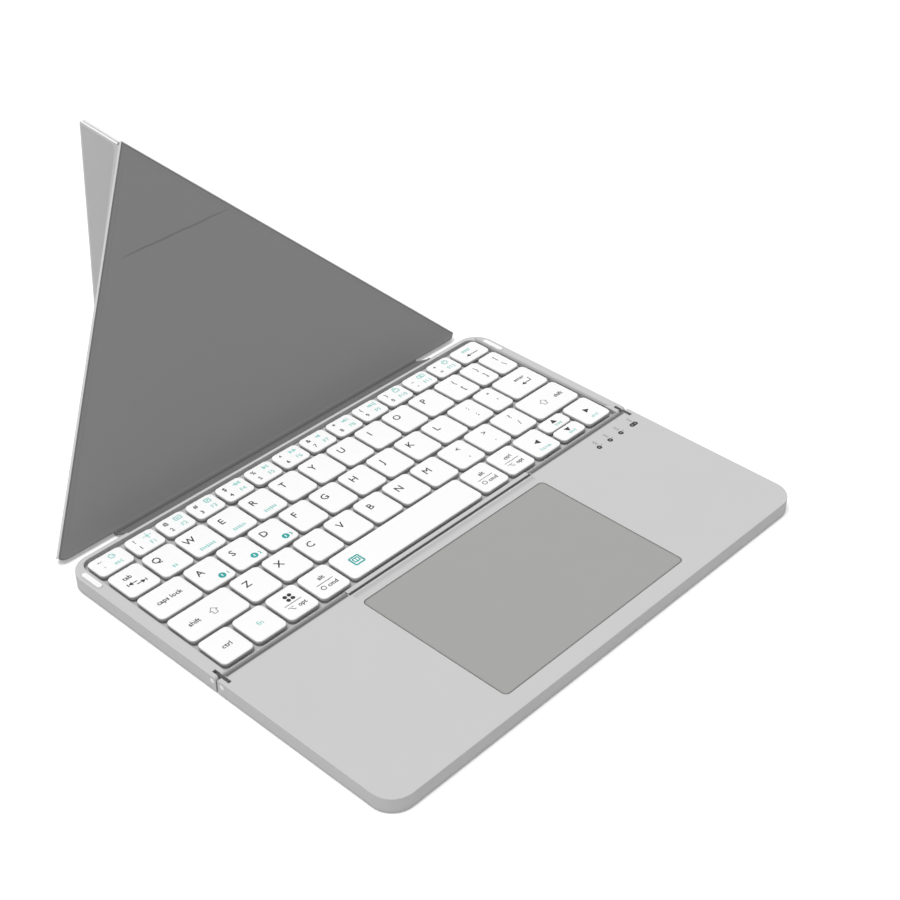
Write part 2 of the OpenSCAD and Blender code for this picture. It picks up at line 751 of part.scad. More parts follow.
module battery() {
    color([0.25, 0.25, 0.28]) placed() {
        translate([-side_x + wall + battery_side, -battery_front - battery_l, cover_top]) {
            cube([battery_w, battery_l, battery_t]);
        }
    }
}

module main_circuit_board() {
    color([0.1, 0.35, 0.2]) placed() {
        translate([side_x - wall - cover_gap - main_board_w, -main_board_rear - main_board_l, cover_top]) {
            cube([main_board_w, main_board_l, board_pcb_t]);
        }
    }
}

module charge_port() {
    color([0.75, 0.75, 0.76]) placed() translate([side_x - port_l, -port_rear, port_z]) rotate([90, 0, 90]) {
        difference() {
            linear_extrude(port_l - eps) rounded(port_w, port_h, port_h / 2 - eps);
            translate([0, 0, port_back]) linear_extrude(port_l) {
                rounded(port_w - 2 * port_wall, port_h - 2 * port_wall, port_h / 2 - port_wall - eps);
            }
        }
        translate([-port_tongue_w / 2, -port_tongue_t / 2, port_back / 2]) {
            cube([port_tongue_w, port_tongue_t, port_l - port_back / 2 - 1]);
        }
    }
}

module indicator_lights() {
    color([0.12, 0.12, 0.12]) placed() {
        for (x = light_xs) {
            translate([x, -light_rear, cover_top + board_pcb_t]) cylinder(r = light_r, h = -cover_top - board_pcb_t);
        }
    }
}

module palmrest_feet() {
    color([0.45, 0.45, 0.45]) placed() feet(-1);
}

module palmrest_screws() {
    color([0.6, 0.6, 0.62]) placed() screws(palm_screw_spots, palm_screw_top);
}

module palmrest_magnets() {
    color([0.5, 0.5, 0.52]) placed() {
        for (x = [-1, 1]) {
            translate([x * key_magnet_x, -magnet_y, -deck_t - magnet_t / 2]) {
                cube([magnet_w, magnet_l, magnet_t], center = true);
            }
        }
    }
}

module palmrest_hinge_pins() {
    color([0.85, 0.85, 0.86]) placed() pins(-1, pin_r, 0);
}

module touchpad_plate() {
    color([0.65, 0.65, 0.63]) placed() translate([0, pad_middle_y, -pad_sink - pad_t]) {
        linear_extrude(pad_t) rounded(pad_w - 2 * pad_gap, pad_d - 2 * pad_gap, pad_r - pad_gap);
    }
}

module touchpad_circuit_board() {
    color([0.1, 0.35, 0.2]) placed() {
        translate([-pad_w / 2 + pad_board_set, pad_middle_y - pad_d / 2 + pad_board_set, pad_board_z]) {
            cube([pad_w - 2 * pad_board_set, pad_d - pad_board_set - pad_gap, board_pcb_t]);
        }
    }
}

module click_switch() {
    color([0.2, 0.2, 0.2]) placed() {
        translate([-switch_w / 2, switch_y - switch_w / 2, switch_z]) cube([switch_w, switch_w, pad_board_z - switch_z]);
    }
}

// stand

module on_front() {
    translate([0, crease_y, crease_z]) rotate([lean, 0, 0]) children();
}

// the left wing's place, folded back along the crease from A to C
module on_wing_left() {
    on_front() translate(corner_a) rotate(a = -wing_fold, v = wing_axis) translate(-corner_a) children();
}

module on_fin_left() {
    on_wing_left() translate(corner_c) rotate(a = fin_fold, v = fin_axis) translate(-corner_c) children();
}

module mirrored() {
    mirror([1, 0, 0]) children();
}

// the sheet's outline: larger corners beside the spine
module sheet_outline(d) {
    w = sheet_w - 2 * d;
    translate([0, sheet_l / 2]) mirror([0, 1, 0]) translate([0, -sheet_l / 2]) {
        half_outline(w, sheet_l / 2, sheet_l - d, sheet_r - d);
    }
    translate([-w / 2, sheet_l / 2 - 1]) square([w, sheet_l / 2 + 1 - d]);
}

module layer(points, edges, margin, low, high) {
    translate([0, 0, low]) linear_extrude(high - low) intersection() {
        polygon(inset(points, edges));
        sheet_outline(margin);
    }
}

// the web beside the crease from p to q, with the cord in it where it carries one
module crease_web(p, q, carries, end) {
    run = norm(q - p) - 2 * end;
    translate(p) rotate(atan2(q[1] - p[1], q[0] - p[0])) translate([end, 0, 0]) {
        near = carries ? 0 : cord_r + cord_clear;
        translate([0, near, -web_t / 2]) cube([run, board_set + 1 - near, web_t]);
        if (carries) {
            bar(0, run, 0, 0, cord_r);
        }
    }
}

module wrap_cut() {
    translate([-sheet_x, wrap_v - wrap_gap / 2, -1]) cube([sheet_w, wrap_gap, 2]);
}

module front_board() {
    color([0.4, 0.4, 0.4]) placed() on_front() difference() {
        union() {
            layer(front_points, [board_set, board_set, board_set], 0, -board_t / 2, board_t / 2);
            crease_web(corner_a, [sheet_x, 0], true, (sheet_w - spine_w) / 2);
            crease_web(corner_c, corner_a, true, cord_end);
            crease_web([sheet_x, 0], [fin_offset, apex_v], true, cord_end);
        }
        wrap_cut();
    }
}

module front_lining() {
    color([0.49, 0.49, 0.49]) placed() on_front() {
        layer(front_points, front_edges, 0, board_t / 2, panel_t / 2);
    }
}

module front_outer_skin() {
    color([0.58, 0.58, 0.58]) placed() on_front() {
        layer(front_points, front_edges, 0, -panel_t / 2, -board_t / 2);
    }
}

module wing_board() {
    difference() {
        union() {
            layer(wing_points, [board_set, board_set, hem], hem, -board_t / 2, board_t / 2);
            crease_web(corner_a, corner_c, false, cord_end);
            crease_web(corner_c, corner_p, true, cord_end);
        }
        wrap_cut();
    }
}

module wing_skins() {
    layer(wing_points, wing_edges, 0, board_t / 2, panel_t / 2);
    layer(wing_points, wing_edges, 0, -panel_t / 2, -board_t / 2);
}

module fin_board() {
    difference() {
        union() {
            layer(fin_points, fin_edges, 0, -panel_t / 2, panel_t / 2);
            crease_web(corner_p, corner_c, false, cord_end);
        }
        translate([fin_magnet_x, fin_magnet_v, -1]) cylinder(r = fin_magnet_r + press_gap, h = 1 + board_t / 2);
    }
}

module fin_magnet() {
    translate([fin_magnet_x, fin_magnet_v, -panel_t / 2]) cylinder(r = fin_magnet_r, h = board_t + skin_t);
}

module wing_board_left() {
    color([0.4, 0.4, 0.4]) placed() on_wing_left() wing_board();
}

module wing_skins_left() {
    color([0.69, 0.69, 0.69]) placed() on_wing_left() wing_skins();
}

module wing_board_right() {
    color([0.4, 0.4, 0.4]) placed() mirrored() on_wing_left() wing_board();
}

module wing_skins_right() {
    color([0.69, 0.69, 0.69]) placed() mirrored() on_wing_left() wing_skins();
}

module fin_board_left() {
    color([0.69, 0.69, 0.69]) placed() on_fin_left() fin_board();
}

module fin_board_right() {
    color([0.69, 0.69, 0.69]) placed() mirrored() on_fin_left() fin_board();
}

module fin_magnet_left() {
    color([0.5, 0.5, 0.52]) placed() on_fin_left() fin_magnet();
}

module fin_magnet_right() {
    color([0.5, 0.5, 0.52]) placed() mirrored() on_fin_left() fin_magnet();
}

module spine_strip() {
    color([0.45, 0.45, 0.45]) placed() translate([0, spine_y, spine_z]) rotate([-spine_slope, 0, 0]) {
        near = cord_r + cord_clear;
        translate([-spine_w / 2, spine_set, -spine_t / 2]) cube([spine_w, spine_len - 2 * spine_set, spine_t]);
        translate([-spine_w / 2, near, -web_t / 2]) cube([spine_w, spine_len - 2 * near, web_t]);
    }
}

keyboard_frame();
keyboard_bottom_cover();
key_plate();
dome_sheet();
keyboard_circuit_board();
keyboard_feet();
bumper_pads();
keyboard_hinge_pins();
keyboard_screws();
keyboard_magnets();
stand_flap();
key(4, 0);  // escape_key
key(4, 13);  // backspace_key
key(3, 0);  // tab_key
key(3, 13);  // backslash_key
key(2, 0);  // caps_lock_key
key(2, 12);  // enter_key
key(1, 0);  // shift_key_left
key(1, 11);  // shift_key_right
key(0, 0);  // control_key_left
key(0, 1);  // function_key
key(0, 2);  // option_key
key(0, 3);  // alt_key_left
key(0, 4);  // space_bar
key(0, 5);  // alt_key_right
key(0, 6);  // control_key_right
key(0, 7);  // arrow_key_left
half_key(1);  // arrow_key_up
half_key(-1);  // arrow_key_down
key(0, 9);  // arrow_key_right
keys(4, 1, 12);  // number_keys
keys(3, 1, 12);  // upper_letter_keys
keys(2, 1, 11);  // home_letter_keys
keys(1, 1, 10);  // lower_letter_keys
hinge_links();
palmrest_top_shell();
palmrest_bottom_cover();
battery();
main_circuit_board();
charge_port();
indicator_lights();
palmrest_feet();
palmrest_screws();
palmrest_magnets();
palmrest_hinge_pins();
click_switch();
touchpad_plate();
touchpad_circuit_board();
spine_strip();
front_board();
front_lining();
front_outer_skin();
wing_board_left();
wing_skins_left();
wing_board_right();
wing_skins_right();
fin_board_left();
fin_board_right();
fin_magnet_left();
fin_magnet_right();
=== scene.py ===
import json
import math

import bmesh
import bpy
from mathutils import Matrix, Vector


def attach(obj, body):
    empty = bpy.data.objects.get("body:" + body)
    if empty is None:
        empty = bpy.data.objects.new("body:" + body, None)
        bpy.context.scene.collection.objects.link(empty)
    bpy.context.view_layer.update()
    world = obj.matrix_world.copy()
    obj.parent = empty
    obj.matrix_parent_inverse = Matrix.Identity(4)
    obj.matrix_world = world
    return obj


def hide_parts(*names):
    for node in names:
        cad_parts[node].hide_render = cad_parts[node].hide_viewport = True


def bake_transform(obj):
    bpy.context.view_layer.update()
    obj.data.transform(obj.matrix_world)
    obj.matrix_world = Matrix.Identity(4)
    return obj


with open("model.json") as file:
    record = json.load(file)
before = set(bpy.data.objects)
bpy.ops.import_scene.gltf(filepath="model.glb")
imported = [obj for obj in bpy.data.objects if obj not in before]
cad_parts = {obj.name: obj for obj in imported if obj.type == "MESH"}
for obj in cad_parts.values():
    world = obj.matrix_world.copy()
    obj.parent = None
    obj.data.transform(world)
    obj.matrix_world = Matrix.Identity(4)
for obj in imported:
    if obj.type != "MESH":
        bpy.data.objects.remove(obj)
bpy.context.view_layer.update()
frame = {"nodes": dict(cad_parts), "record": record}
MM = 0.001

# The part's own sizes, in millimetres, around the middle of the hinge with the decks' tops at height 0
MIDDLE_Y = 70.8782
TABLE_Z = -7.3
KEYBOARD_D = 96.0
CAP_TOP = 0.4
CAP_BOTTOM = -1.15
CAP_EDGE = 0.6
CAP_R = 2.5
KEY_GAP = 1.5
KEY_UNIT = 17.55
NUMBER_UNIT = 16.6
ESCAPE_W = 19.0
CAPS_LOCK_W = 24.0
QUOTE_W = 13.5
SHIFT_W = 32.5
BLOCK_W = 237.6
BLOCK_FRONT = 2.45
ROW_D = 19.0
NUMBER_ROW_D = 13.6
PLUNGER_R = 1.2
PLUNGER_END = -2.65
SPACE_PLUNGER_X = 26
SHEET_X = 123.4
SHEET_L = 180.0
SHEET_R = 10.0
APEX_V = 151.0
FIN_X = 0.9
PANEL_T = 1.4
WRAP_V = 105.3
LEAN = 52.3168
WING_FOLD = 113.016
FIN_FOLD = -44.3762
CREASE_Y = 105.364
CREASE_Z = -6.5
SPINE_Y = 96.6
SPINE_Z = -0.9
SPINE_LEN = 10.4
SPINE_SLOPE = 32.579
SPINE_X = 92.5
SPINE_T = 0.8
SPINE_WEB = 0.3
SPINE_SET = 1.2

LOCAL_TO_ROW = Matrix.Translation((0, -MIDDLE_Y * MM, -TABLE_Z * MM)) @ Matrix.Scale(MM, 4)


# Materials

# The colour mix node's sockets
MIX_FACTOR, MIX_A, MIX_B, MIX_RESULT = 0, 6, 7, 2
GRAIN_DETAIL = 3
BUMP_DETAIL = 4
BUMP_DEPTH = 0.2
EDGE_SAMPLES = 4
SHADE_SAMPLES = 6
WAVE_PERIOD = 0.314
THREAD_PITCH = 0.35
THREAD_DEPTH = 0.3
THREAD_BEND = 0.6
THREAD_TONES = (0.95, 1.03)
CASE_GREY = 204
# Painted shade from a cap's foot to its top: greys, darkest below the rounded edge
CAP_PAINTED_SHADE = ((0.0, 226), (0.15, 218), (0.38, 192), (0.66, 196), (0.9, 226), (1.0, 253))
CAP_WOBBLE = 0.04
WOBBLE_SCALE = 150
WOBBLE_DETAIL = 2


def srgb(value):
    """A linear colour from an 8-bit grey or an 8-bit triple."""
    triple = value if isinstance(value, tuple) else (value,) * 3
    linear = [c / 255 / 12.92 if c <= 10 else ((c / 255 + 0.055) / 1.055) ** 2.4 for c in triple]
    return (*linear, 1.0)


def tinted(colour, factor):
    """A colour made darker or paler, and never paler than white."""
    return [min(c * factor, 1) for c in colour[:3]] + [1]


def set_inputs(node, values):
    """Sets a node's unlinked inputs."""
    for key, value in values.items():
        node.inputs[key].default_value = value


def add_node(tree, kind, inputs=None, **settings):
    """A new shader node with values for its inputs and with its own settings."""
    node = tree.nodes.new("ShaderNode" + kind)
    for key, value in settings.items():
        setattr(node, key, value)
    set_inputs(node, inputs or {})
    return node


def join(tree, *links):
    """Makes links, each given as (node, output, node, input)."""
    for source, output, target, socket in links:
        tree.links.new(source.outputs[output], target.inputs[socket])


def shader_of(tree):
    """A material's main shader."""
    return tree.nodes["Principled BSDF"]


def add_noise(tree, scale, detail):
    """Noise over the object's own place."""
    place = add_node(tree, "TexCoord")
    noise = add_node(tree, "TexNoise", {"Scale": scale, "Detail": detail})
    join(tree, (place, "Object", noise, "Vector"))
    return noise


def add_tones(tree, colour, factors, source):
    """Colours the shader between a darker and a paler tone, by a source's first output."""
    dark, pale = (tinted(colour, factor) for factor in factors)
    tone = add_node(tree, "Mix", {MIX_A: dark, MIX_B: pale}, data_type="RGBA")
    join(tree, (source, 0, tone, MIX_FACTOR), (tone, MIX_RESULT, shader_of(tree), "Base Color"))


def add_relief(tree, source, strength, distance):
    """Gives the shader a bump, by a source's first output."""
    relief = add_node(tree, "Bump", {"Strength": strength, "Distance": distance})
    join(tree, (source, 0, relief, "Height"), (relief, "Normal", shader_of(tree), "Normal"))


def material(name, shade, rough, grain=None, bump=None, specular=0.5, metal=0.0, sheen=0.0):
    """A material with a fine change of colour and a bump. grain is (size in mm, strength), and so is bump."""
    mat = bpy.data.materials.new(name)
    mat.use_nodes = True
    tree = mat.node_tree
    colour = srgb(shade)
    set_inputs(shader_of(tree), {"Base Color": colour, "Roughness": rough, "Metallic": metal,
                                 "Specular IOR Level": specular, "Sheen Weight": sheen})
    if grain:
        size, strength = grain
        add_tones(tree, colour, (1 - strength, 1 + strength), add_noise(tree, 1 / (size * MM), GRAIN_DETAIL))
    if bump:
        size, strength = bump
        add_relief(tree, add_noise(tree, 1 / (size * MM), BUMP_DETAIL), strength, size * MM * BUMP_DEPTH)
    return mat


def add_edge(mat, radius):
    """Rounds a material's sharp edges in the shading, by a radius in millimetres."""
    tree = mat.node_tree
    edge = add_node(tree, "Bevel", {"Radius": radius * MM}, samples=EDGE_SAMPLES)
    relief = next(node for node in tree.nodes if node.type == "BUMP")
    join(tree, (edge, "Normal", relief, "Normal"))
    return mat


def add_greys(mat, axis, low, high, greys, wobble=0.0):
    """Colours a material by (share, grey) pairs along an axis from low to high, in metres."""
    tree = mat.node_tree
    place = add_node(tree, "TexCoord")
    parts = add_node(tree, "SeparateXYZ")
    share = add_node(tree, "MapRange", {"From Min": low, "From Max": high})
    ramp = add_node(tree, "ValToRGB")
    stops = ramp.color_ramp.elements
    stops[0].color, stops[1].color = srgb(greys[0][1]), srgb(greys[-1][1])
    for position, grey in greys[1:-1]:
        stops.new(position).color = srgb(grey)
    join(tree, (place, "Object", parts, 0), (parts, axis, share, "Value"),
         (ramp, "Color", shader_of(tree), "Base Color"))
    if wobble:
        noise = add_noise(tree, WOBBLE_SCALE, WOBBLE_DETAIL)
        sway = add_node(tree, "Math", {1: wobble}, operation="MULTIPLY_ADD")
        join(tree, (noise, 0, sway, 0), (share, 0, sway, 2), (sway, 0, ramp, 0))
    else:
        join(tree, (share, 0, ramp, 0))
    return mat


def cap_material():
    """White plastic with painted shade down its sides, darkest below the rounded edge."""
    mat = material("cap_white", 253, 0.42, specular=0.25, bump=(0.2, 0.03))
    low, high = (CAP_BOTTOM - TABLE_Z) * MM, (CAP_TOP - TABLE_Z) * MM
    return add_greys(mat, "Z", low, high, CAP_PAINTED_SHADE, CAP_WOBBLE)


def band_material(name, shades, axis="Y"):
    """Case plastic with painted shade, whose grey follows (x or y in hinge millimetres, grey) pairs."""
    mat = material(name, CASE_GREY, 0.5, specular=0.2, bump=(0.25, 0.04))
    low, high = shades[0][0], shades[-1][0]
    middle = MIDDLE_Y if axis == "Y" else 0.0
    greys = [((at - low) / (high - low), grey) for at, grey in shades]
    return add_greys(mat, axis, (low - middle) * MM, (high - middle) * MM, greys)


def add_shade(mat, reach, strength):
    """Paints shade into a material's colour in gaps and corners that are closer than a reach in millimetres.
    """
    tree = mat.node_tree
    shader = shader_of(tree)
    tone = shader.inputs["Base Color"].links[0].from_node
    near = add_node(tree, "AmbientOcclusion", {"Distance": reach * MM}, samples=SHADE_SAMPLES)
    fade = add_node(tree, "MapRange", {"To Min": 1 - strength, "To Max": 1})
    darker = add_node(tree, "Mix", {MIX_FACTOR: 1}, data_type="RGBA", blend_type="MULTIPLY")
    join(tree, (near, "AO", fade, "Value"), (tone, MIX_RESULT, darker, MIX_A), (fade, 0, darker, MIX_B),
         (darker, MIX_RESULT, shader, "Base Color"))
    return mat


def weave(name, shade, rough, strength):
    """A woven cloth: two crossed sets of threads, with a fine change of colour."""
    mat = material(name, shade, rough, specular=0.25, sheen=0.15)
    tree = mat.node_tree
    place = add_node(tree, "TexCoord")
    both = add_node(tree, "Math", operation="MAXIMUM")
    threads = {"Scale": WAVE_PERIOD / (THREAD_PITCH * MM), "Distortion": THREAD_BEND, "Detail": 1}
    for k, direction in enumerate(("X", "Z")):
        wave = add_node(tree, "TexWave", threads, bands_direction=direction)
        join(tree, (place, "Object", wave, "Vector"), (wave, "Fac", both, k))
    add_relief(tree, both, strength, THREAD_PITCH * MM * THREAD_DEPTH)
    add_tones(tree, srgb(shade), THREAD_TONES, both)
    return mat


def printed(name, shade, rough=0.5, change=0.04):
    """The colour of a print."""
    return material(name, shade, rough, (0.5, change), (0.2, 0.02))


CASE = material("case_grey", CASE_GREY, 0.5, (30, 0.015), (0.25, 0.04), specular=0.2)
COVER = material("cover_grey", 186, 0.55, (25, 0.02), (0.3, 0.05), specular=0.25)
PAD_GREY = (165, 165, 163)
DOME_COLOUR = (222, 216, 196)
BOARD_GREEN = (20, 92, 52)
LOOK = {
    # The case's colour has painted shade in its gaps and corners
    "case": add_shade(add_edge(CASE, 0.3), 2.5, 0.52),
    "cover": add_edge(COVER, 0.2),
    "caps": cap_material(),
    "plate": material("plate_grey", 192, 0.6, (12, 0.02), (0.3, 0.05), specular=0.3),
    "domes": material("dome_rubber", DOME_COLOUR, 0.6, (5, 0.04), (0.4, 0.05)),
    "circuit_board": material("board_green", BOARD_GREEN, 0.4, (1.5, 0.25), (0.8, 0.1)),
    "feet": material("foot_rubber", 120, 0.75, (2, 0.05), (0.4, 0.15), specular=0.2),
    "pale_rubber": material("pad_white", 250, 0.55, (3, 0.01), (0.3, 0.04), specular=0.3),
    "pins": material("pin_steel", 242, 0.3, (0.6, 0.03), (0.2, 0.05), metal=0.6),
    "links": material("link_steel", 84, 0.45, (1.5, 0.08), (0.2, 0.05), metal=0.5),
    "screws": material("screw_steel", 200, 0.3, (0.4, 0.05), (0.2, 0.08), metal=1.0),
    "magnets": material("magnet_nickel", 176, 0.3, (1, 0.05), (0.4, 0.05), metal=1.0),
    "battery": material("battery_foil", 70, 0.45, (6, 0.1), (3, 0.1)),
    "port_metal": material("port_steel", 196, 0.3, (0.5, 0.04), (0.2, 0.04), metal=1.0),
    "dark_lens": material("lens_black", 18, 0.2, (1, 0.1), (0.5, 0.02)),
    "switch": material("switch_black", 36, 0.5, (1, 0.1), (0.3, 0.06)),
    "touchpad": material("pad_grey", PAD_GREY, 0.42, (14, 0.012), (0.12, 0.05), specular=0.25),
    "stand_board": material("board_grey", 130, 0.7, (3, 0.05), (0.5, 0.1)),
    "outer_skin": material("cover_leather", 152, 0.62, (5, 0.05), (0.7, 0.35), specular=0.3),
    "lining": weave("lining_dark", 131, 0.75, 0.25),
    "wing_skin": weave("lining_pale", 196, 0.75, 0.2),
}
GROOVE = material("pressed_line", 104, 0.7, (1, 0.1), (0.4, 0.2), specular=0.2)
HEM = weave("hem_pale", 212, 0.7, 0.2)
FIN_HEM = weave("hem_white", 208, 0.7, 0.2)
EDGE = material("sheet_edge", 246, 0.6, (2, 0.03), (0.4, 0.1), specular=0.25)
# Dark cloth of the spine and the flap, also on the front's edges, and painted shade where the lining folds at
# the creases
DARK_CLOTH_AND_FOLD_SHADE = material("dark_cloth_and_fold_shade", 116, 0.7, (2, 0.06), (0.5, 0.25), specular=0.25)
INK = printed("legend_ink", 32, change=0.05)
TEAL = printed("legend_teal", (24, 164, 160))
PALE_TEAL = printed("legend_pale_teal", (160, 214, 208))
PALE_INK = printed("label_pale", 168, rough=0.6)
PALE_DOT = printed("light_dot", 150)
# Painted shade of the gap around the touch pad
PAD_GAP_SHADE = material("pad_gap_shade", 134, 0.5, (2, 0.04), (0.2, 0.03))
# Painted shadow of the fold across the front's lining
FOLD_SHADOW = material("painted_fold_shadow", 119, 0.8, (2, 0.08), (0.4, 0.1), specular=0.2)


# Mesh helpers

CORNER_STEPS = 6
SLAB_STEPS = 4
LEAST_R = 0.12


def linked(name, data):
    """A new object in the scene."""
    thing = bpy.data.objects.new(name, data)
    bpy.context.scene.collection.objects.link(thing)
    return thing


def smooth_below(mesh, angle):
    """Smooths a mesh but for its edges above an angle."""
    mesh.shade_smooth()
    mesh.set_sharp_from_angle(angle=math.radians(angle))


def placed_piece(bm, name, mats, smooth=None):
    """An object in the row frame from a mesh in hinge millimetres."""
    bm.transform(LOCAL_TO_ROW)
    mesh = bpy.data.meshes.new(name)
    bm.to_mesh(mesh)
    bm.free()
    for mat in mats:
        mesh.materials.append(mat)
    if smooth is not None:
        smooth_below(mesh, smooth)
    return linked(name, mesh)


def riding_piece(bm, name, mats, body, smooth=None):
    """A piece that rides on a body."""
    piece = placed_piece(bm, name, mats, smooth)
    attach(piece, body)
    return piece


def closed_piece(bm, name, mats, body, smooth):
    """A riding piece whose faces look outward."""
    bmesh.ops.recalc_face_normals(bm, faces=bm.faces[:])
    return riding_piece(bm, name, mats, body, smooth)


def flat_piece(bm, name, mats, body, facing=(0, 0, 1)):
    """A flat printed or pressed piece whose faces look towards facing."""
    bm.normal_update()
    for face in bm.faces:
        if face.normal.dot(Vector(facing)) < 0:
            face.normal_flip()
    riding_piece(bm, name, mats, body)


def add_flat(bm, points, index=0):
    """One flat face with a material index."""
    bm.faces.new([bm.verts.new(point) for point in points]).material_index = index


def rounded_outline(corners, distances, more, radii, steps):
    """The points of a left-turning polygon whose edges move in by distances plus more, with round corners."""
    count = len(corners)
    moved = []
    for i in range(count):
        p, q, r = (Vector(corners[(i + k) % count]) for k in (-1, 0, 1))
        u, v = (q - p).normalized(), (r - q).normalized()
        n, m = Vector((-u.y, u.x)), Vector((-v.y, v.x))
        dp, dq = distances[i - 1] + more, distances[i] + more
        det = n.x * m.y - n.y * m.x
        moved.append((q + Vector((dp * m.y - dq * n.y, dq * n.x - dp * m.x)) / det, u, v, n))
    points = []
    for i, (q, u, v, n) in enumerate(moved):
        radius = max(radii[i] - more, LEAST_R)
        turned = u.angle(v)
        reach = radius * math.tan(turned / 2)
        centre = q - u * reach + n * radius
        start = math.atan2(-n.y, -n.x)
        for k in range(steps + 1):
            angle = start + turned * k / steps
            points.append(centre + radius * Vector((math.cos(angle), math.sin(angle))))
    return points


def add_rings(bm, rings, materials=None):
    """Bridges closed rings of points and fills both ends. materials has one index for each end and band."""
    materials = materials or [0] * (len(rings) + 1)
    loops = [[bm.verts.new(p) for p in points] for points in rings]
    bm.faces.new(loops[0]).material_index = materials[0]
    for a, b, index in zip(loops, loops[1:], materials[1:]):
        for i in range(len(a)):
            j = (i + 1) % len(a)
            bm.faces.new((a[i], a[j], b[j], b[i])).material_index = index
    bm.faces.new(loops[-1][::-1]).material_index = materials[-1]


def add_slab(bm, place, corners, levels, radius, distances=(0, 0, 0, 0)):
    """A four-cornered slab. levels has (inset, height) for each ring."""
    rings = []
    for more, height in levels:
        outline = rounded_outline(corners, distances, more, [radius] * 4, SLAB_STEPS)
        rings.append([place @ Vector((p.x, p.y, height)) for p in outline])
    add_rings(bm, rings)


def rectangle(x0, y0, x1, y1):
    """The corners of a rectangle."""
    return [(x0, y0), (x1, y0), (x1, y1), (x0, y1)]


def polygon_points(x, y, radius, sides, start=0.0):
    """The corners of a regular polygon."""
    angles = [start + k * math.tau / sides for k in range(sides)]
    return [(x + radius * math.cos(a), y + radius * math.sin(a)) for a in angles]


# Key caps, row by row from the front

BRACKET_W = (BLOCK_W - 12 * KEY_UNIT) / 2
ROWS = [
    [KEY_UNIT] * 4 + [BLOCK_W - 9 * KEY_UNIT] + [KEY_UNIT] * 5,
    [SHIFT_W] + [KEY_UNIT] * 10 + [BLOCK_W - SHIFT_W - 10 * KEY_UNIT],
    [CAPS_LOCK_W] + [KEY_UNIT] * 10 + [QUOTE_W, BLOCK_W - CAPS_LOCK_W - QUOTE_W - 10 * KEY_UNIT],
    [KEY_UNIT] * 12 + [BRACKET_W, BRACKET_W],
    [ESCAPE_W] + [NUMBER_UNIT] * 12 + [BLOCK_W - ESCAPE_W - 12 * NUMBER_UNIT],
]
SINGLE = {
    4: {0: "escape_key", 13: "backspace_key"},
    3: {0: "tab_key", 13: "backslash_key"},
    2: {0: "caps_lock_key", 12: "enter_key"},
    1: {0: "shift_key_left", 11: "shift_key_right"},
    0: {0: "control_key_left", 1: "function_key", 2: "option_key", 3: "alt_key_left", 4: "space_bar",
        5: "alt_key_right", 6: "control_key_right", 7: "arrow_key_left", 9: "arrow_key_right"},
}
GROUPS = {1: "lower_letter_keys", 2: "home_letter_keys", 3: "upper_letter_keys", 4: "number_keys"}
HALF_D = (ROW_D - 2 * KEY_GAP + KEY_GAP / 2) / 2

# The visible caps are larger on each side than the part's, and stand further right and further back
CAP_GROW = 0.11
CAP_SHIFT = (0.1, 0.18)
# Insets and heights of a cap's rings up to its rounded edge
CAP_TAPER = 0.06
CAP_LEVELS = ((0.35, CAP_BOTTOM), (0.12, CAP_BOTTOM + 0.08), (0.02, CAP_BOTTOM + 0.3),
              (CAP_TAPER, CAP_TOP - CAP_EDGE))
CAP_STEPS = 5
PLUNGER_IN = 0.4
PLUNGER_SIDES = 20


def key_places():
    """The caps of each node, as (row, index, x, y, width, depth)."""
    places = {}
    for r, widths in enumerate(ROWS):
        depth = NUMBER_ROW_D if r == 4 else ROW_D
        y = BLOCK_FRONT + r * ROW_D + depth / 2
        x = -BLOCK_W / 2
        for i, width in enumerate(widths):
            middle = x + width / 2
            x += width
            if (r, i) == (0, 8):
                step = (HALF_D + KEY_GAP / 2) / 2
                places["arrow_key_down"] = [(r, "down", middle, y - step, width - KEY_GAP, HALF_D)]
                places["arrow_key_up"] = [(r, "up", middle, y + step, width - KEY_GAP, HALF_D)]
            else:
                node = SINGLE[r].get(i) or GROUPS[r]
                places.setdefault(node, []).append((r, i, middle, y, width - KEY_GAP, depth - KEY_GAP))
    return places


def add_cap(bm, x, y, w, d):
    """A key cap: a round-edged slab that is slightly wider at its foot than at its top."""
    levels = list(CAP_LEVELS)
    for k in range(1, CAP_STEPS + 1):
        angle = math.radians(90 * k / CAP_STEPS)
        inward, down = CAP_EDGE * (1 - math.cos(angle)), CAP_EDGE * (1 - math.sin(angle))
        levels.append((CAP_TAPER + inward, CAP_TOP - down))
    corners = rectangle(-w / 2, -d / 2, w / 2, d / 2)
    rings = []
    for more, z in levels:
        outline = rounded_outline(corners, [0] * 4, more - CAP_GROW, [CAP_R] * 4, CORNER_STEPS)
        rings.append([(x + CAP_SHIFT[0] + p.x, y + CAP_SHIFT[1] + p.y, z) for p in outline])
    add_rings(bm, rings)


def add_plunger(bm, x, y):
    """The round stem below a cap."""
    ends = (PLUNGER_END, CAP_BOTTOM + PLUNGER_IN)
    add_rings(bm, [[(px, py, z) for px, py in polygon_points(x, y, PLUNGER_R, PLUNGER_SIDES)] for z in ends])


# Legends, from a cap's middle in millimetres. Kind k is dark, t teal, w white and p pale teal.

KINDS = "ktwp"
LETTERS = {3: "QWERTYUIOP", 2: "ASDFGHJKL", 1: "ZXCVBNM"}
LETTER_SIZE = 5.2
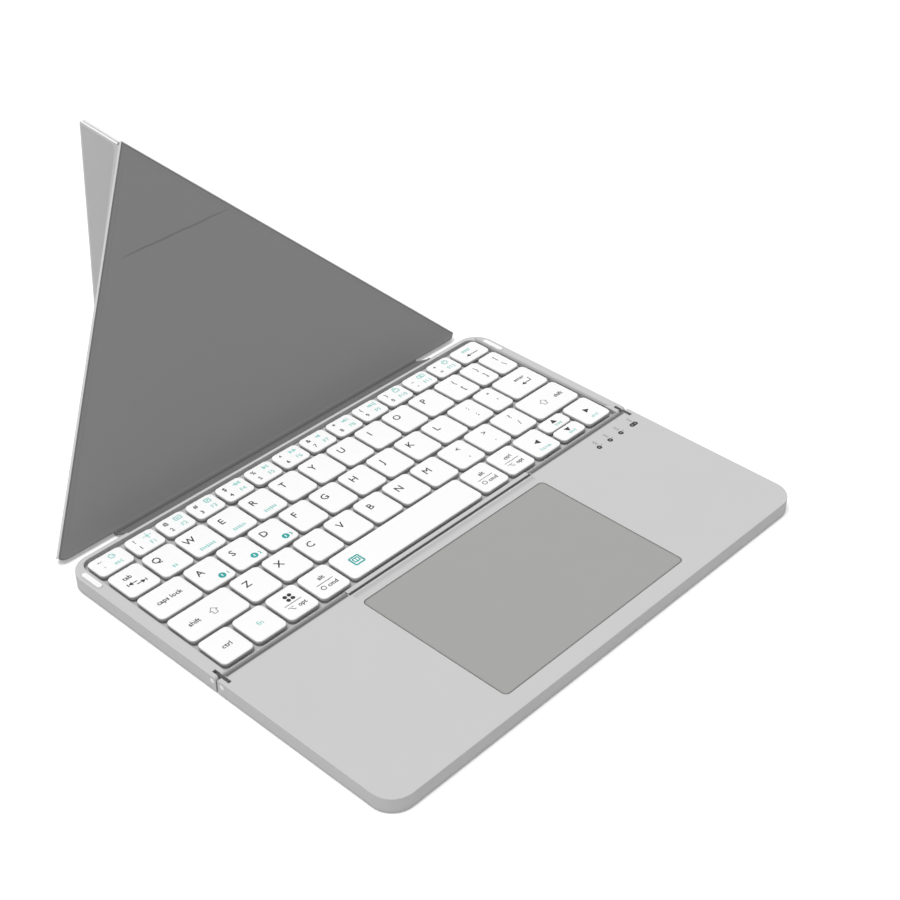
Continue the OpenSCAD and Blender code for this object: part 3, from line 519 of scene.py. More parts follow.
# The first letter's x, the step of x from cap to cap, and y
LETTER_SPOTS = {3: (-3.6, 0.15, 2.9), 2: (-3.0, 0.07, 2.6), 1: (-2.7, 0.08, 2.3)}
PAIRS = {(3, 11): "{[", (3, 12): "}]", (3, 13): "|\\", (2, 10): ":;", (2, 11): "\"'",
         (1, 8): "<,", (1, 9): ">.", (1, 10): "?/"}
PAIR_SPOTS = ((1.3, 3.5), (1.4, -2.8))
PAIR_SIZE = 4.0
NUMBER_SIGNS = ("~!@#$%^&*()_+", "`1234567890-=")
NUMBER_Y = (2.8, -2.2)
NUMBER_SIZES = (3.3, 3.2)
ROUND_SIZE = 2.6
FUNCTION_SIZE = 3.3
FUNCTION_SCALE = 1.2
# The pair's distance from the cap's left edge, and the places of the word and of the mark beside it
ESCAPE_SPOTS = (4.8, (2.1, -2.3), (2.4, 2.7))
NUMBER_SPOTS = (4.1, (3.0, -2.3), (3.2, 2.7))
DISC_X, DISC_Y, DISC_R = 2.8, -4.8, 1.7
DISC_BAR = 0.7
DISC_WORD = (2.8, -0.3, 2.6)
ALT_WORDS = [("alt", 0.6, 2.7, 3.3, "k"), ("cmd", 2.0, -3.3, 3.1, "k")]
# For each cap, as (text, x, y, size, kind)
WORDS = {
    (3, 0): [("tab", -1.3, 3.2, 3.4, "k")],
    (2, 0): [("caps lock", -0.3, 0.2, 3.4, "k")],
    (1, 0): [("shift", -7.4, 0.1, 3.4, "k")],
    (1, 11): [("shift", 7.2, -0.5, 3.2, "k")],
    (2, 12): [("enter", 1.8, 2.6, 3.0, "k")],
    (0, 0): [("ctrl", 0.4, -0.2, 3.5, "k")],
    (0, 1): [("fn", 0.4, -0.1, 3.8, "p")],
    (0, 2): [("opt", 2.6, -3.3, 3.1, "k")],
    (0, 3): ALT_WORDS,
    (0, 5): ALT_WORDS,
    (0, 6): [("ctrl", 0.4, 2.5, 3.3, "k"), ("opt", 2.2, -3.3, 3.1, "k")],
    (0, 7): [("home", 0.5, -5.0, 2.8, "p")],
    (0, 9): [("end", 0.1, -5.0, 2.8, "p")],
}
BOLD = 0.13
LINE = 0.5
NAME_Y = -4.9
NAME_W = 1.6
NAME_LENGTHS = {1: 2.6, 2: 8.2, 3: 6.6, 4: 6.6}
ARROW = 1.3
HOLLOW_LINE = 0.28
STEP_LINE = 0.34
RING_LINE = 0.36
DASH_PITCH = 1.15
DASH_SHARE = 0.66
DASH_HEAVY = 1.3
SPACE_X = -29.7
# The print's height over the cap, and what each layer adds
PRINT_RISE = 0.02
BOLD_RISE = 0.003
MARK_RISE = 0.001


def texts_for(r, i, w):
    """The words, letters and digits of a cap."""
    out = list(WORDS.get((r, i), []))
    if r in LETTERS and 1 <= i <= len(LETTERS[r]):
        x, step, y = LETTER_SPOTS[r]
        out.append((LETTERS[r][i - 1], x + step * (i - 1), y, LETTER_SIZE, "k"))
    if r == 2 and i in (1, 2, 3):
        dx, dy, size = DISC_WORD
        out.append((str(i), DISC_X + dx, DISC_Y + dy, size, "t"))
    for sign, (x, y) in zip(PAIRS.get((r, i), ""), PAIR_SPOTS):
        out.append((sign, x, y, PAIR_SIZE, "k"))
    if r == 4 and i < 13:
        left, spot, _ = NUMBER_SPOTS if i else ESCAPE_SPOTS
        for signs, y, size in zip(NUMBER_SIGNS, NUMBER_Y, NUMBER_SIZES):
            out.append((signs[i], left - w / 2, y, ROUND_SIZE if signs[i] == "@" else size, "k"))
        out.append(("F%d" % i if i else "esc", *spot, FUNCTION_SIZE, "p"))
    return out


def triangle(x, y, size, angle):
    """An arrow head that points along an angle."""
    return polygon_points(x, y, size, 3, math.radians(angle))


def bar(x0, y0, x1, y1, width=LINE):
    """A straight line of a width."""
    along = Vector((x1 - x0, y1 - y0)).normalized() * width / 2
    side = Vector((-along.y, along.x))
    return [(x0 - side.x, y0 - side.y), (x1 - side.x, y1 - side.y),
            (x1 + side.x, y1 + side.y), (x0 + side.x, y0 + side.y)]


def bars(x, y, lines, width):
    """Straight lines of a width, given from a point."""
    return [bar(x + x0, y + y0, x + x1, y + y1, width) for x0, y0, x1, y1 in lines]


def loop(x, y, w, h, width=LINE):
    """A small box's outline as four bars."""
    a, b = w / 2, h / 2
    return bars(x, y, ((-a, -b, a, -b), (-a, b, a, b), (-a, -b, -a, b), (a, -b, a, b)), width)


def disc(x, y, r, sides=18):
    """A filled round spot."""
    return polygon_points(x, y, r, sides)


def closed_line(points, width):
    """Bars from each point to the next and back to the first."""
    return [bar(*a, *b, width) for a, b in zip(points, points[1:] + points[:1])]


def ring(x, y, r, width=LINE):
    """A small ring as short bars."""
    return closed_line(disc(x, y, r), width)


def hollow_arrow(x, y, s):
    """The outline of an arrow that points away from the user."""
    pts = [(0, 1), (0.95, 0.05), (0.45, 0.05), (0.45, -0.85), (-0.45, -0.85), (-0.45, 0.05), (-0.95, 0.05)]
    return closed_line([(x + s * px, y + s * py) for px, py in pts], HOLLOW_LINE)


def teal_mark(index, x, y):
    """One of a few plain marks above the function numbers."""
    horn = [bar(-1.4, -0.55, -1.4, 0.55, 0.8), triangle(-0.5, 0, 1.15, 180)]
    waves = [bar(0.9, -0.8, 0.9, 0.8), bar(1.7, -1.1, 1.7, 1.1)]
    rays = ((1, 0), (0, 1), (-1, 0), (0, -1))
    marks = [
        ring(0, 0, 1.1) + [bar(0, 0, 0.8, 0)],
        [disc(0, 0, 0.7)] + [bar(1.1 * c, 1.1 * s, 1.7 * c, 1.7 * s) for c, s in rays],
        loop(0, 0, 2.8, 1.9) + [bar(-0.8, 0, 0.8, 0)],
        loop(0, 0, 2.1, 2.1) + [bar(-0.5, -0.4, 0.5, 0.4, 0.6)],
        [triangle(-0.7, 0, 1.2, 180), triangle(1.0, 0, 1.2, 180)],
        [triangle(-0.4, 0, 1.3, 0), bar(1.1, -1.0, 1.1, 1.0)],
        [triangle(-0.9, 0, 1.2, 0), triangle(0.8, 0, 1.2, 0)],
        horn,
        horn + waves[:1],
        horn + waves,
        loop(0, 0, 2.4, 1.6) + loop(0, 1.4, 1.1, 1.0),
        loop(0, 0, 3.0, 1.9) + [disc(0, 0, 0.6)],
        ring(0, 0, 1.2) + [bar(0, 0, 0, 1.4)],
    ]
    return [[(x + FUNCTION_SCALE * px, y + FUNCTION_SCALE * py) for px, py in part] for part in marks[index]]


def step_mark(x, y):
    """A small mark of a bent line and a short one."""
    lines = ((-1.4, 0.9, -0.4, 0.9), (-0.4, 0.9, 0.5, -0.9), (0.5, -0.9, 1.4, -0.9), (0.4, 0.9, 1.4, 0.9))
    return bars(x, y, lines, STEP_LINE)


def dashes(x, y, length, width):
    """A row of short dashes in the place of a word."""
    count = max(2, round(length / DASH_PITCH))
    pitch = length / count
    left = x - length / 2
    return [bar(left + k * pitch, y, left + (k + DASH_SHARE) * pitch, y, width * (1 if k % 3 else DASH_HEAVY))
            for k in range(count)]


def drawn_marks():
    """The drawn marks of single caps, as lists of (polygons, kind)."""
    divider = [bar(-4.4, -0.4, 4.6, -0.4, 0.32)]
    circle = [(divider + ring(-2.8, -3.0, 1.1, RING_LINE), "k")]
    tab = [bar(-2.6, -1.1, 0.6, -1.1), triangle(-2.5, -1.1, ARROW, 180), bar(-4.1, -2.0, -4.1, -0.2),
           bar(-0.8, -2.9, 2.4, -2.9), triangle(2.3, -2.9, ARROW, 0), bar(3.9, -3.8, 3.9, -2.0)]
    enter = [bar(0.8, -2.0, 5.6, -2.0), bar(5.6, -2.0, 5.6, 0.6), triangle(0.8, -2.0, ARROW, 180)]
    screen = (loop(SPACE_X, 0.1, 4.9, 4.9, 0.8) + loop(SPACE_X, 0.4, 2.8, 2.2, 0.6)
              + [bar(SPACE_X, -1.2, SPACE_X, 1.6)])
    discs = [disc(x, y, 1.0) for x in (-0.2, 2.1) for y in (1.8, 4.1)]
    return {
        (4, 13): [([bar(-2.2, -1.7, 4.0, -1.7), triangle(-2.2, -1.7, ARROW, 180)], "k"),
                  (dashes(-0.1, 2.7, 5.6, 0.9) + dashes(-0.1, 1.7, 5.0, 0.7), "p")],
        (3, 0): [(tab, "k")],
        (1, 0): [(hollow_arrow(2.7, 0, 2.1), "k")],
        (1, 11): [(hollow_arrow(-2.2, 0, 2.1), "k")],
        (2, 12): [(enter, "k")],
        (0, 2): [(discs + divider, "k"), (step_mark(-2.6, -3.0), "k")],
        (0, 3): circle,
        (0, 5): circle,
        (0, 6): [(divider + step_mark(-2.6, -3.0), "k")],
        (0, 4): [(screen, "t")],
        (0, 7): [([triangle(0.8, 0.2, 2.0, 180)], "k")],
        (0, 9): [([triangle(0, 0.3, 2.0, 0)], "k")],
        (0, "up"): [([triangle(0.4, 0.9, 1.9, 90)], "k"), (dashes(1.2, -1.8, 4.4, 1.2), "p")],
        (0, "down"): [([triangle(0.4, 1.5, 1.9, -90)], "k"), (dashes(1.2, -1.3, 4.4, 1.2), "p")],
    }


DRAWN = drawn_marks()


def marks_for(r, i):
    """The drawn marks of a cap, as (polygons, kind)."""
    if r == 4 and i < 13:
        return [(teal_mark(i, *(NUMBER_SPOTS if i else ESCAPE_SPOTS)[2]), "p")]
    if r == 3 and i in NAME_LENGTHS:
        return [(dashes(0.2, NAME_Y, NAME_LENGTHS[i], NAME_W), "p")]
    if r == 2 and i in (1, 2, 3):
        stroke = bar(DISC_X, DISC_Y - DISC_BAR, DISC_X, DISC_Y + DISC_BAR)
        return [([disc(DISC_X, DISC_Y, DISC_R)], "t"), ([stroke], "w")]
    return DRAWN.get((r, i), [])


def glyph_mesh(text, size):
    """A word as a flat mesh around its own middle, in millimetres."""
    curve = bpy.data.curves.new("word", "FONT")
    curve.body = text
    curve.size = size
    curve.resolution_u = 2
    curve.align_x = "CENTER"
    curve.align_y = "CENTER"
    word = linked("word", curve)
    bpy.context.view_layer.update()
    mesh = bpy.data.meshes.new_from_object(word.evaluated_get(bpy.context.evaluated_depsgraph_get()))
    bpy.data.objects.remove(word)
    bpy.data.curves.remove(curve)
    return mesh


def add_legends(bm, place):
    """A cap's words, each laid three times for its weight, and its marks."""
    r, i, x, y, w, _ = place
    height = CAP_TOP + PRINT_RISE
    for text, dx, dy, size, kind in texts_for(r, i, w):
        mesh = glyph_mesh(text, size)
        first = len(bm.faces)
        mesh.transform(Matrix.Translation((x + dx, y + dy, height)))
        bm.from_mesh(mesh)
        for shift in ((BOLD, 0, BOLD_RISE), (-BOLD / 2, BOLD, BOLD_RISE)):
            mesh.transform(Matrix.Translation(shift))
            bm.from_mesh(mesh)
        bm.faces.ensure_lookup_table()
        for face in bm.faces[first:]:
            face.material_index = KINDS.index(kind)
        bpy.data.meshes.remove(mesh)
    level = 0
    for polygons, kind in marks_for(r, i):
        for polygon in polygons:
            level += 1
            z = height + MARK_RISE * level
            add_flat(bm, [(x + px, y + py, z) for px, py in polygon], KINDS.index(kind))


def make_keys():
    """The caps and legends of each key node."""
    for node, places in key_places().items():
        stems = (-SPACE_PLUNGER_X, 0, SPACE_PLUNGER_X) if node == "space_bar" else (0,)
        bm = bmesh.new()
        for r, i, x, y, w, d in places:
            add_cap(bm, x, y, w, d)
            for dx in stems:
                add_plunger(bm, x + dx, y)
        piece = closed_piece(bm, node + "_caps", [LOOK["caps"]], node, smooth=40)
        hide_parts(node)
        bm = bmesh.new()
        for place in places:
            add_legends(bm, place)
        flat_piece(bm, node + "_legends", [INK, TEAL, LOOK["caps"], PALE_TEAL], node)


# The stand's panels

def turn(point, line, angle):
    """A turn about a line through a point."""
    spin = Matrix.Rotation(math.radians(angle), 4, line)
    return Matrix.Translation(point) @ spin @ Matrix.Translation(-point)


CORNER_A = Vector((-SHEET_X, 0, 0))
CORNER_C = Vector((-FIN_X, APEX_V, 0))
CORNER_P = Vector((-SHEET_X, SHEET_L, 0))
CORNER_D = Vector((-FIN_X, SHEET_L, 0))
ON_FRONT = Matrix.Translation((0, CREASE_Y, CREASE_Z)) @ Matrix.Rotation(math.radians(LEAN), 4, "X")
ON_WING = ON_FRONT @ turn(CORNER_A, CORNER_C - CORNER_A, -WING_FOLD)
ON_FIN = ON_WING @ turn(CORNER_C, CORNER_P - CORNER_C, FIN_FOLD)
MIRROR = Matrix.Diagonal((-1, 1, 1, 1))
ON_SPINE = Matrix.Translation((0, SPINE_Y, SPINE_Z)) @ Matrix.Rotation(math.radians(-SPINE_SLOPE), 4, "X")
TIP_V = APEX_V * SHEET_X / (SHEET_X - FIN_X)
CREASE = (CORNER_C - CORNER_A).normalized()
ARC_STEPS = 6

# The insets of a panel's edges: free, at a crease, and at the front's foot
FREE = 0.0
SKIN_SET = 1.3
BOTTOM_SET = 1.1

# The rings of a panel, from its lining over its edge to its outer skin, as (inset, height, material)
HALF_T = PANEL_T / 2
OVER = 0.03
LINING, RIM, SIDE, OUTER = range(4)
PANEL_LEVELS = [
    (2.1, HALF_T - 0.03, LINING), (1.7, HALF_T - 0.05, LINING), (1.45, HALF_T - 0.05, LINING),
    (1.2, HALF_T, RIM), (0.5, HALF_T, RIM), (0.16, HALF_T - 0.08, RIM), (0, HALF_T - 0.3, SIDE),
    (0, 0.3 - HALF_T, SIDE), (0.16, 0.08 - HALF_T, SIDE), (0.5, -HALF_T - 0.01, SIDE),
    (1.2, -HALF_T - OVER, OUTER),
]
# A long edge has points at these distances from its ends, and one for each step between them
END_POINTS = [0.4, 0.9, 1.8]
LONG_EDGE = 8
EDGE_STEP = 2.5
TINY = 1e-6

# The skin across a crease: its two heights with how far they reach, and its points beside the fold's line
STRIP_TOP = (HALF_T + 0.015, SKIN_SET + 0.9)
STRIP_UNDER = (HALF_T - 0.22, SKIN_SET + 0.2)
STRIP_NEAR = (0.8, 0.25)
STRIP_FAR = 0.5
STRIP_TURNS = 6
STRIP_STEPS = 16
ON_FOLD, ON_B = 1, 2
FOLD_END_A, FOLD_END_B = 0.9, 0.1

FOLD_TIP = 0.6
FOLD_NARROW = 0.3
FOLD_SIDES = 12

# The painted shadow of the fold across the front's lining, and the outer skin's pressed lines
WRAP_SHADOW_SPAN = (-28.4, 34.7)
WRAP_W = 0.9
WRAP_WOBBLE = 0.12
WRAP_GROOVE_W = 1.2
LINE_STEPS = 24
LINE_TAPER = 6
LINE_TIP = 0.01
PRESS_N = -HALF_T - OVER - 0.012
PRESS_V = WRAP_V - 5
PRESS_SET = 2.6
PRESS_W = 0.6
FRONT_PRESS_R = [9, 9, 4, 4]
WING_PRESS_R = [6, 3, 4]

# Where the skins across the creases start and end on either panel, and how they slant there
ARC_TRIM = 4.4
EDGE_TRIM = 0.1
FIN_TRIM = 1.2
VALLEY = (CORNER_P - CORNER_C).normalized()
WING_SLANT = 1 / math.tan((-CREASE).angle(VALLEY) / 2)
FREE_SLANT = VALLEY.y / -VALLEY.x
FRONT_TRIMS = ((ARC_TRIM, 0, -FIN_X / CREASE.x, CREASE.y / CREASE.x), (ARC_TRIM, 0, 0, WING_SLANT))
FIN_TRIMS = ((0, WING_SLANT, EDGE_TRIM, FREE_SLANT), (EDGE_TRIM, FREE_SLANT, FIN_TRIM, -VALLEY.x / VALLEY.y))
INTO_FRONT = Vector((CREASE.y, -CREASE.x, 0))
INTO_WING = Vector((-VALLEY.y, VALLEY.x, 0))

# The spine's folds, the foot of the front, the strip with its thin web, and the flap with its lip on the rim
FRONT_FOLD_R = 0.66
FLAP_FOLD_R = 0.42
FOOT_SPAN = (-0.1, 2.0)
FOOT_R = 0.4
FOOT_LEVELS = ((0.3, HALF_T - 0.06), (0, HALF_T - 0.2), (0, 0.2 - HALF_T), (0.3, 0.06 - HALF_T))
# For the strip and its web: the insets of the near, far and side edges, half the thickness, and the bevel
SPINE_LAYERS = ((SPINE_SET, 0.8, 0, SPINE_T / 2, 0.2), (0.45, 0.6, 1.5, SPINE_WEB / 2, 0.06))
SPINE_R = 0.8
UPRIGHT = Matrix(((1, 0, 0, 0), (0, 0, 1, 0), (0, 1, 0, 0), (0, 0, 0, 1)))
FLAP_LOW = -5.8
FLAP_OVER = 0.2
FLAP_T = 0.38
FLAP_LEVELS = ((0.0, KEYBOARD_D), (0.0, KEYBOARD_D + 0.25), (0.12, KEYBOARD_D + 0.36),
               (0.4, KEYBOARD_D + FLAP_T))
RIM_LIP_Y = 95.45
LIP_R = 0.5
LIP_LEVELS = ((0.02, 0.0), (0.0, 0.06), (0.0, 0.12), (0.1, 0.18), (0.3, 0.2))


def side_at(v):
    """The left crease's distance from the middle at a height along the front."""
    return SHEET_X * (1 - v / TIP_V)


def arc_end():
    """The angle on the sheet's left round corner where the crease leaves the sheet, in degrees."""
    lean_sum = CREASE.x + CREASE.y
    along = SHEET_R * (lean_sum - math.sqrt(lean_sum ** 2 - 1))
    return 360 + math.degrees(math.atan2(along * CREASE.y - SHEET_R, along * CREASE.x - SHEET_R))


def sheet_arc(start, end):
    """Points of the sheet's left round corner between two angles."""
    angles = [math.radians(start + (end - start) * k / ARC_STEPS) for k in range(ARC_STEPS + 1)]
    return [(-SHEET_X + SHEET_R + SHEET_R * math.cos(a), SHEET_R + SHEET_R * math.sin(a)) for a in angles]


def plate_rings(corners, distances, middle, insets):
    """Rings of a convex left-turning plate: each edge moves in by its distance plus the ring's inset."""
    edges, rays = [], []
    for i, corner in enumerate(corners):
        p, q = Vector(corner), Vector(corners[(i + 1) % len(corners)])
        length = (q - p).length
        u = (q - p) / length
        edges.append((p, Vector((-u.y, u.x)), distances[i]))
        places = [0.0]
        if length > LONG_EDGE:
            last = END_POINTS[-1]
            count = round(length / EDGE_STEP)
            places += END_POINTS
            places += [last + (length - 2 * last) * k / count for k in range(1, count)]
            places += [length - at for at in reversed(END_POINTS)]
        rays += [(p + u * at - middle).normalized() for at in places]
    rings = []
    for inset in insets:
        points = []
        for ray in rays:
            reach = min((inward.dot(middle - p) - d - inset) / -inward.dot(ray)
                        for p, inward, d in edges if inward.dot(ray) < -TINY)
            points.append(middle + ray * reach)
        rings.append(points)
    return rings


def panel_piece(name, place, corners, distances, middle, body, mats, replaced):
    """A board in its cover: a hemmed lining, a round edge and an outer skin."""
    insets, heights, materials = zip(*PANEL_LEVELS)
    rings = plate_rings(corners, distances, Vector(middle), insets)
    placed = [[place @ Vector((p.x, p.y, n)) for p in points] for points, n in zip(rings, heights)]
    bm = bmesh.new()
    add_rings(bm, placed, [*materials, OUTER])
    piece = closed_piece(bm, name, mats, body, smooth=35)
    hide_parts(*replaced)


def add_fold(bm, place, p, q, radius):
    """The soft round fold along a crease, with narrower ends."""
    along = (q - p).normalized()
    across = Vector((-along.y, along.x, 0))
    up = Vector((0, 0, 1))
    length = (q - p).length
    thin = radius * FOLD_NARROW
    angles = [math.tau * k / FOLD_SIDES for k in range(FOLD_SIDES)]
    rings = []
    for at, r in ((0, thin), (FOLD_TIP, radius), (length - FOLD_TIP, radius), (length, thin)):
        rings.append([place @ (p + along * at + across * r * math.cos(a) + up * r * math.sin(a))
                      for a in angles])
    add_rings(bm, rings)


def strip_profile(a_in, a_up, b_in, b_up, height, reach):
    """Points from panel a to panel b at a height over both, round the fold or into the corner."""
    points = [a_in * reach + a_up * height]
    if b_in.dot(a_up) < 0:
        points += [a_in * at + a_up * height for at in STRIP_NEAR]
        points += [a_up.slerp(b_up, k / STRIP_TURNS) * height for k in range(STRIP_TURNS + 1)]
        points.append(b_in * STRIP_FAR + b_up * height)
    else:
        corner = a_in * height * math.tan(a_up.angle(b_up) / 2) + a_up * height
        points += [points[0].lerp(corner, 0.5), corner]
        points.append(corner.lerp(b_in * reach + b_up * height, 0.5))
    return points + [b_in * reach + b_up * height]


def crease_strip(name, places, p, q, inward, face, trims, mats):
    """The cover's skin across a crease between two panels; face is 1 on the lining and -1 outside.

    trims holds, for either panel, where the skin starts and ends and how far it slants there.
    """
    a_in, b_in = ((place.to_3x3() @ (inward * sign)).normalized() for place, sign in zip(places, (1, -1)))
    a_up, b_up = ((place.to_3x3() @ Vector((0, 0, face))).normalized() for place in places)
    top, under = (strip_profile(a_in, a_up, b_in, b_up, *layer) for layer in (STRIP_TOP, STRIP_UNDER))
    section = top + under[::-1]
    along = (places[0].to_3x3() @ (q - p)).normalized()
    length = (q - p).length
    origin = places[0] @ p
    spans = []
    for offset in section:
        on_a = offset.dot(a_in) >= offset.dot(b_in)
        reach = max(offset.dot(a_in if on_a else b_in), 0)
        start, start_slant, end, end_slant = trims[0 if on_a else 1]
        spans.append((start + reach * start_slant, length - end - reach * end_slant))
    rings = []
    for k in range(STRIP_STEPS + 1):
        rings.append([origin + along * (low + (high - low) * k / STRIP_STEPS) + offset
                      for (low, high), offset in zip(spans, section)])
    bm = bmesh.new()
    add_rings(bm, rings)
    line = rings[STRIP_STEPS // 2][0] - section[0]
    for skin in bm.faces:
        place = skin.calc_center_median() - line
        if place.dot(b_in) > FOLD_END_B or place.dot(a_in) < -FOLD_END_B:
            skin.material_index = ON_B
        elif place.dot(a_in) < FOLD_END_A:
            skin.material_index = ON_FOLD
    bmesh.ops.recalc_face_normals(bm, faces=bm.faces[:])
    piece = placed_piece(bm, name, mats, smooth=50)
    middle = origin + along * length / 2
    start, end = (LOCAL_TO_ROW @ (middle + way * SKIN_SET) for way in (a_in, b_in))
    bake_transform(piece)


def add_loop(bm, place, corners, radii, inset, width, height):
    """A closed flat line along the inside of a polygon."""
    free = [0] * len(corners)
    outer, inner = (rounded_outline(corners, free, inset + more, radii, CORNER_STEPS) for more in (0, width))
    count = len(outer)
    for k in range(count):
        j = (k + 1) % count
        add_flat(bm, [place @ Vector((p.x, p.y, height)) for p in (outer[k], outer[j], inner[j], inner[k])])


def add_line(bm, place, x0, x1, width, height, wobble=0.0):
    """A flat line along the wrap's crease that fades to a point at both ends."""
    edges = []
    for k in range(LINE_STEPS + 1):
        t = k / LINE_STEPS
        x = x0 + (x1 - x0) * t
        half = width / 2 * (1 - abs(2 * t - 1) ** LINE_TAPER) + LINE_TIP
        sway = wobble * (math.sin(0.31 * x) + 0.5 * math.sin(0.83 * x + 1))
        edges.append([place @ Vector((x, WRAP_V + sway + side * half, height)) for side in (-1, 1)])
    for (a, b), (c, d) in zip(edges, edges[1:]):
        add_flat(bm, [a, c, d, b])


def make_front():
    """The big triangle, with the sheet's round corners at its foot."""
    left = sheet_arc(arc_end(), 270)
    right = [(-x, v) for x, v in reversed(left)]
    corners = left + right + [(0, TIP_V)]
    distances = [FREE] * (len(left) - 1) + [BOTTOM_SET] + [FREE] * (len(right) - 1) + [SKIN_SET, SKIN_SET]
    mats = [LOOK["lining"], LOOK["lining"], DARK_CLOTH_AND_FOLD_SHADE, LOOK["outer_skin"]]
    panel_piece("front_cover", ON_FRONT, corners, distances, (0, TIP_V / 3), "stand_front", mats,
                ["front_lining", "front_outer_skin"])
    bm = bmesh.new()
    # Painted shadow along the fold across the front's lining
    add_line(bm, ON_FRONT, *WRAP_SHADOW_SPAN, WRAP_W, HALF_T, WRAP_WOBBLE)
    flat_piece(bm, "front_fold_shadow", [FOLD_SHADOW], "stand_front", facing=(0, -1, 1))
    bm = bmesh.new()
    top_x, wrap_x = side_at(PRESS_V), side_at(WRAP_V)
    add_loop(bm, ON_FRONT, [(-SHEET_X, 0), (SHEET_X, 0), (top_x, PRESS_V), (-top_x, PRESS_V)], FRONT_PRESS_R,
             PRESS_SET, PRESS_W, PRESS_N)
    add_line(bm, ON_FRONT, 1 - wrap_x, wrap_x - 1, WRAP_GROOVE_W, PRESS_N)
    flat_piece(bm, "front_pressed_lines", [GROOVE], "stand_front", facing=(0, 1, -1))


def make_side(side, flip):
    """A wing and its fin: side is their name and flip mirrors the left one."""
    wing_name, fin_name = "wing_" + side, "fin_" + side
    wing, fin, front = flip @ ON_WING, flip @ ON_FIN, flip @ ON_FRONT
    outer = LOOK["outer_skin"]
    arc = sheet_arc(180, arc_end())
    corners = arc + [CORNER_C.xy, CORNER_P.xy]
    distances = [FREE] * (len(arc) - 1) + [SKIN_SET, SKIN_SET, FREE]
    middle = (CORNER_A + CORNER_C + CORNER_P) / 3
    panel_piece("wing_cover_" + side, wing, corners, distances, middle.xy, wing_name,
                [LOOK["wing_skin"], HEM, EDGE, outer], ["wing_skins_" + side])
    corners = [CORNER_C.xy, CORNER_D.xy, CORNER_P.xy]
    middle = (CORNER_C + CORNER_D + CORNER_P) / 3
    panel_piece("fin_cover_" + side, fin, corners, [FREE, FREE, SKIN_SET], middle.xy, fin_name,
                [LOOK["wing_skin"], FIN_HEM, EDGE, outer], ["fin_board_" + side])
    # On the lining, the fold across the crease is painted shade
    for face, word, slot, front_mats, fin_mats in (
            (1, "lining", "wing_skin", [LOOK["lining"], DARK_CLOTH_AND_FOLD_SHADE, HEM], [HEM] * 3),
            (-1, "outer", "outer_skin", [outer] * 3, [outer] * 3)):
        crease_strip("front_%s_strip_%s" % (word, side), (front, wing), CORNER_A,
                     CORNER_C, INTO_FRONT, face, FRONT_TRIMS, front_mats)
        crease_strip("fin_%s_strip_%s" % (word, side), (wing, fin), CORNER_C,
                     CORNER_P, INTO_WING, face, FIN_TRIMS, fin_mats)
    bm = bmesh.new()
    top_x = side_at(PRESS_V)
    add_loop(bm, wing, [(-SHEET_X, 0), (-top_x, PRESS_V), (-SHEET_X, PRESS_V)], WING_PRESS_R,
             PRESS_SET, PRESS_W, PRESS_N)
    add_line(bm, wing, -SHEET_X + 0.5, -side_at(WRAP_V) - SKIN_SET, WRAP_GROOVE_W, PRESS_N)
    outward = wing.to_3x3() @ Vector((0, 0, -1))
    flat_piece(bm, "wing_pressed_lines_" + side, [GROOVE], wing_name, facing=outward)


def spine_box(low, high):
    """The corners of a strip as wide as the spine."""
    return rectangle(-SPINE_X, low, SPINE_X, high)


def make_spine():
    """The soft spine: its folds, its strip and the flap that is glued to the case."""
    ends = Vector((-SPINE_X, 0, 0)), Vector((SPINE_X, 0, 0))
    bm = bmesh.new()
    add_fold(bm, ON_FRONT, *ends, FRONT_FOLD_R)
    add_slab(bm, ON_FRONT, spine_box(*FOOT_SPAN), FOOT_LEVELS, FOOT_R)
    closed_piece(bm, "spine_fold", [DARK_CLOTH_AND_FOLD_SHADE], "stand_front", smooth=60)
    bm = bmesh.new()
    for near, far, side, half, bevel in SPINE_LAYERS:
        levels = ((2.5 * bevel, half), (bevel, half - bevel / 4), (0, half - bevel), (0, bevel - half),
                  (bevel, bevel / 4 - half), (2.5 * bevel, -half))
        add_slab(bm, ON_SPINE, spine_box(0, SPINE_LEN), levels, SPINE_R, (near, side, far, side))
    piece = closed_piece(bm, "spine_cover", [DARK_CLOTH_AND_FOLD_SHADE], "spine", smooth=40)
    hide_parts("spine_strip")
    bm = bmesh.new()
    add_slab(bm, UPRIGHT, spine_box(FLAP_LOW, SPINE_Z + FLAP_OVER), FLAP_LEVELS, SPINE_R)
    add_slab(bm, Matrix.Identity(4), spine_box(RIM_LIP_Y, KEYBOARD_D + FLAP_T), LIP_LEVELS, LIP_R)
    add_fold(bm, Matrix.Translation((0, SPINE_Y, SPINE_Z)), *ends, FLAP_FOLD_R)
    piece = closed_piece(bm, "flap_cover", [DARK_CLOTH_AND_FOLD_SHADE], "keyboard_half", smooth=40)
    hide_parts("stand_flap")


def make_stand():
    """The front, both sides and the spine."""
    make_front()
    for side, flip in (("left", Matrix.Identity(4)), ("right", MIRROR)):
        make_side(side, flip)
    make_spine()


# Prints and painted shade on the case

PRINT_Z = 0.012
LIGHTS_Y = -10.5
LAST_LIGHT_X = 117.1
LIGHT_XS = [LAST_LIGHT_X - 9.3 - 7.7 * k for k in range(3)]
LAST_RINGS = (-1.0, 1.1)
LIGHT_R, LIGHT_SIDES = 1.3, 28
DOT_R, DOT_SIDES, DOT_Z = 0.42, 16, 0.022
TICK_X, TICK_Y = (1.9, 2.3), 0.5
LABEL_X, LABEL_SWAY, LABEL_END, LABEL_W = 0.3, 0.2, 1.7, 0.6
LABEL_START, LABEL_STEP, LABEL_COUNT = 2.4, 0.78, 4
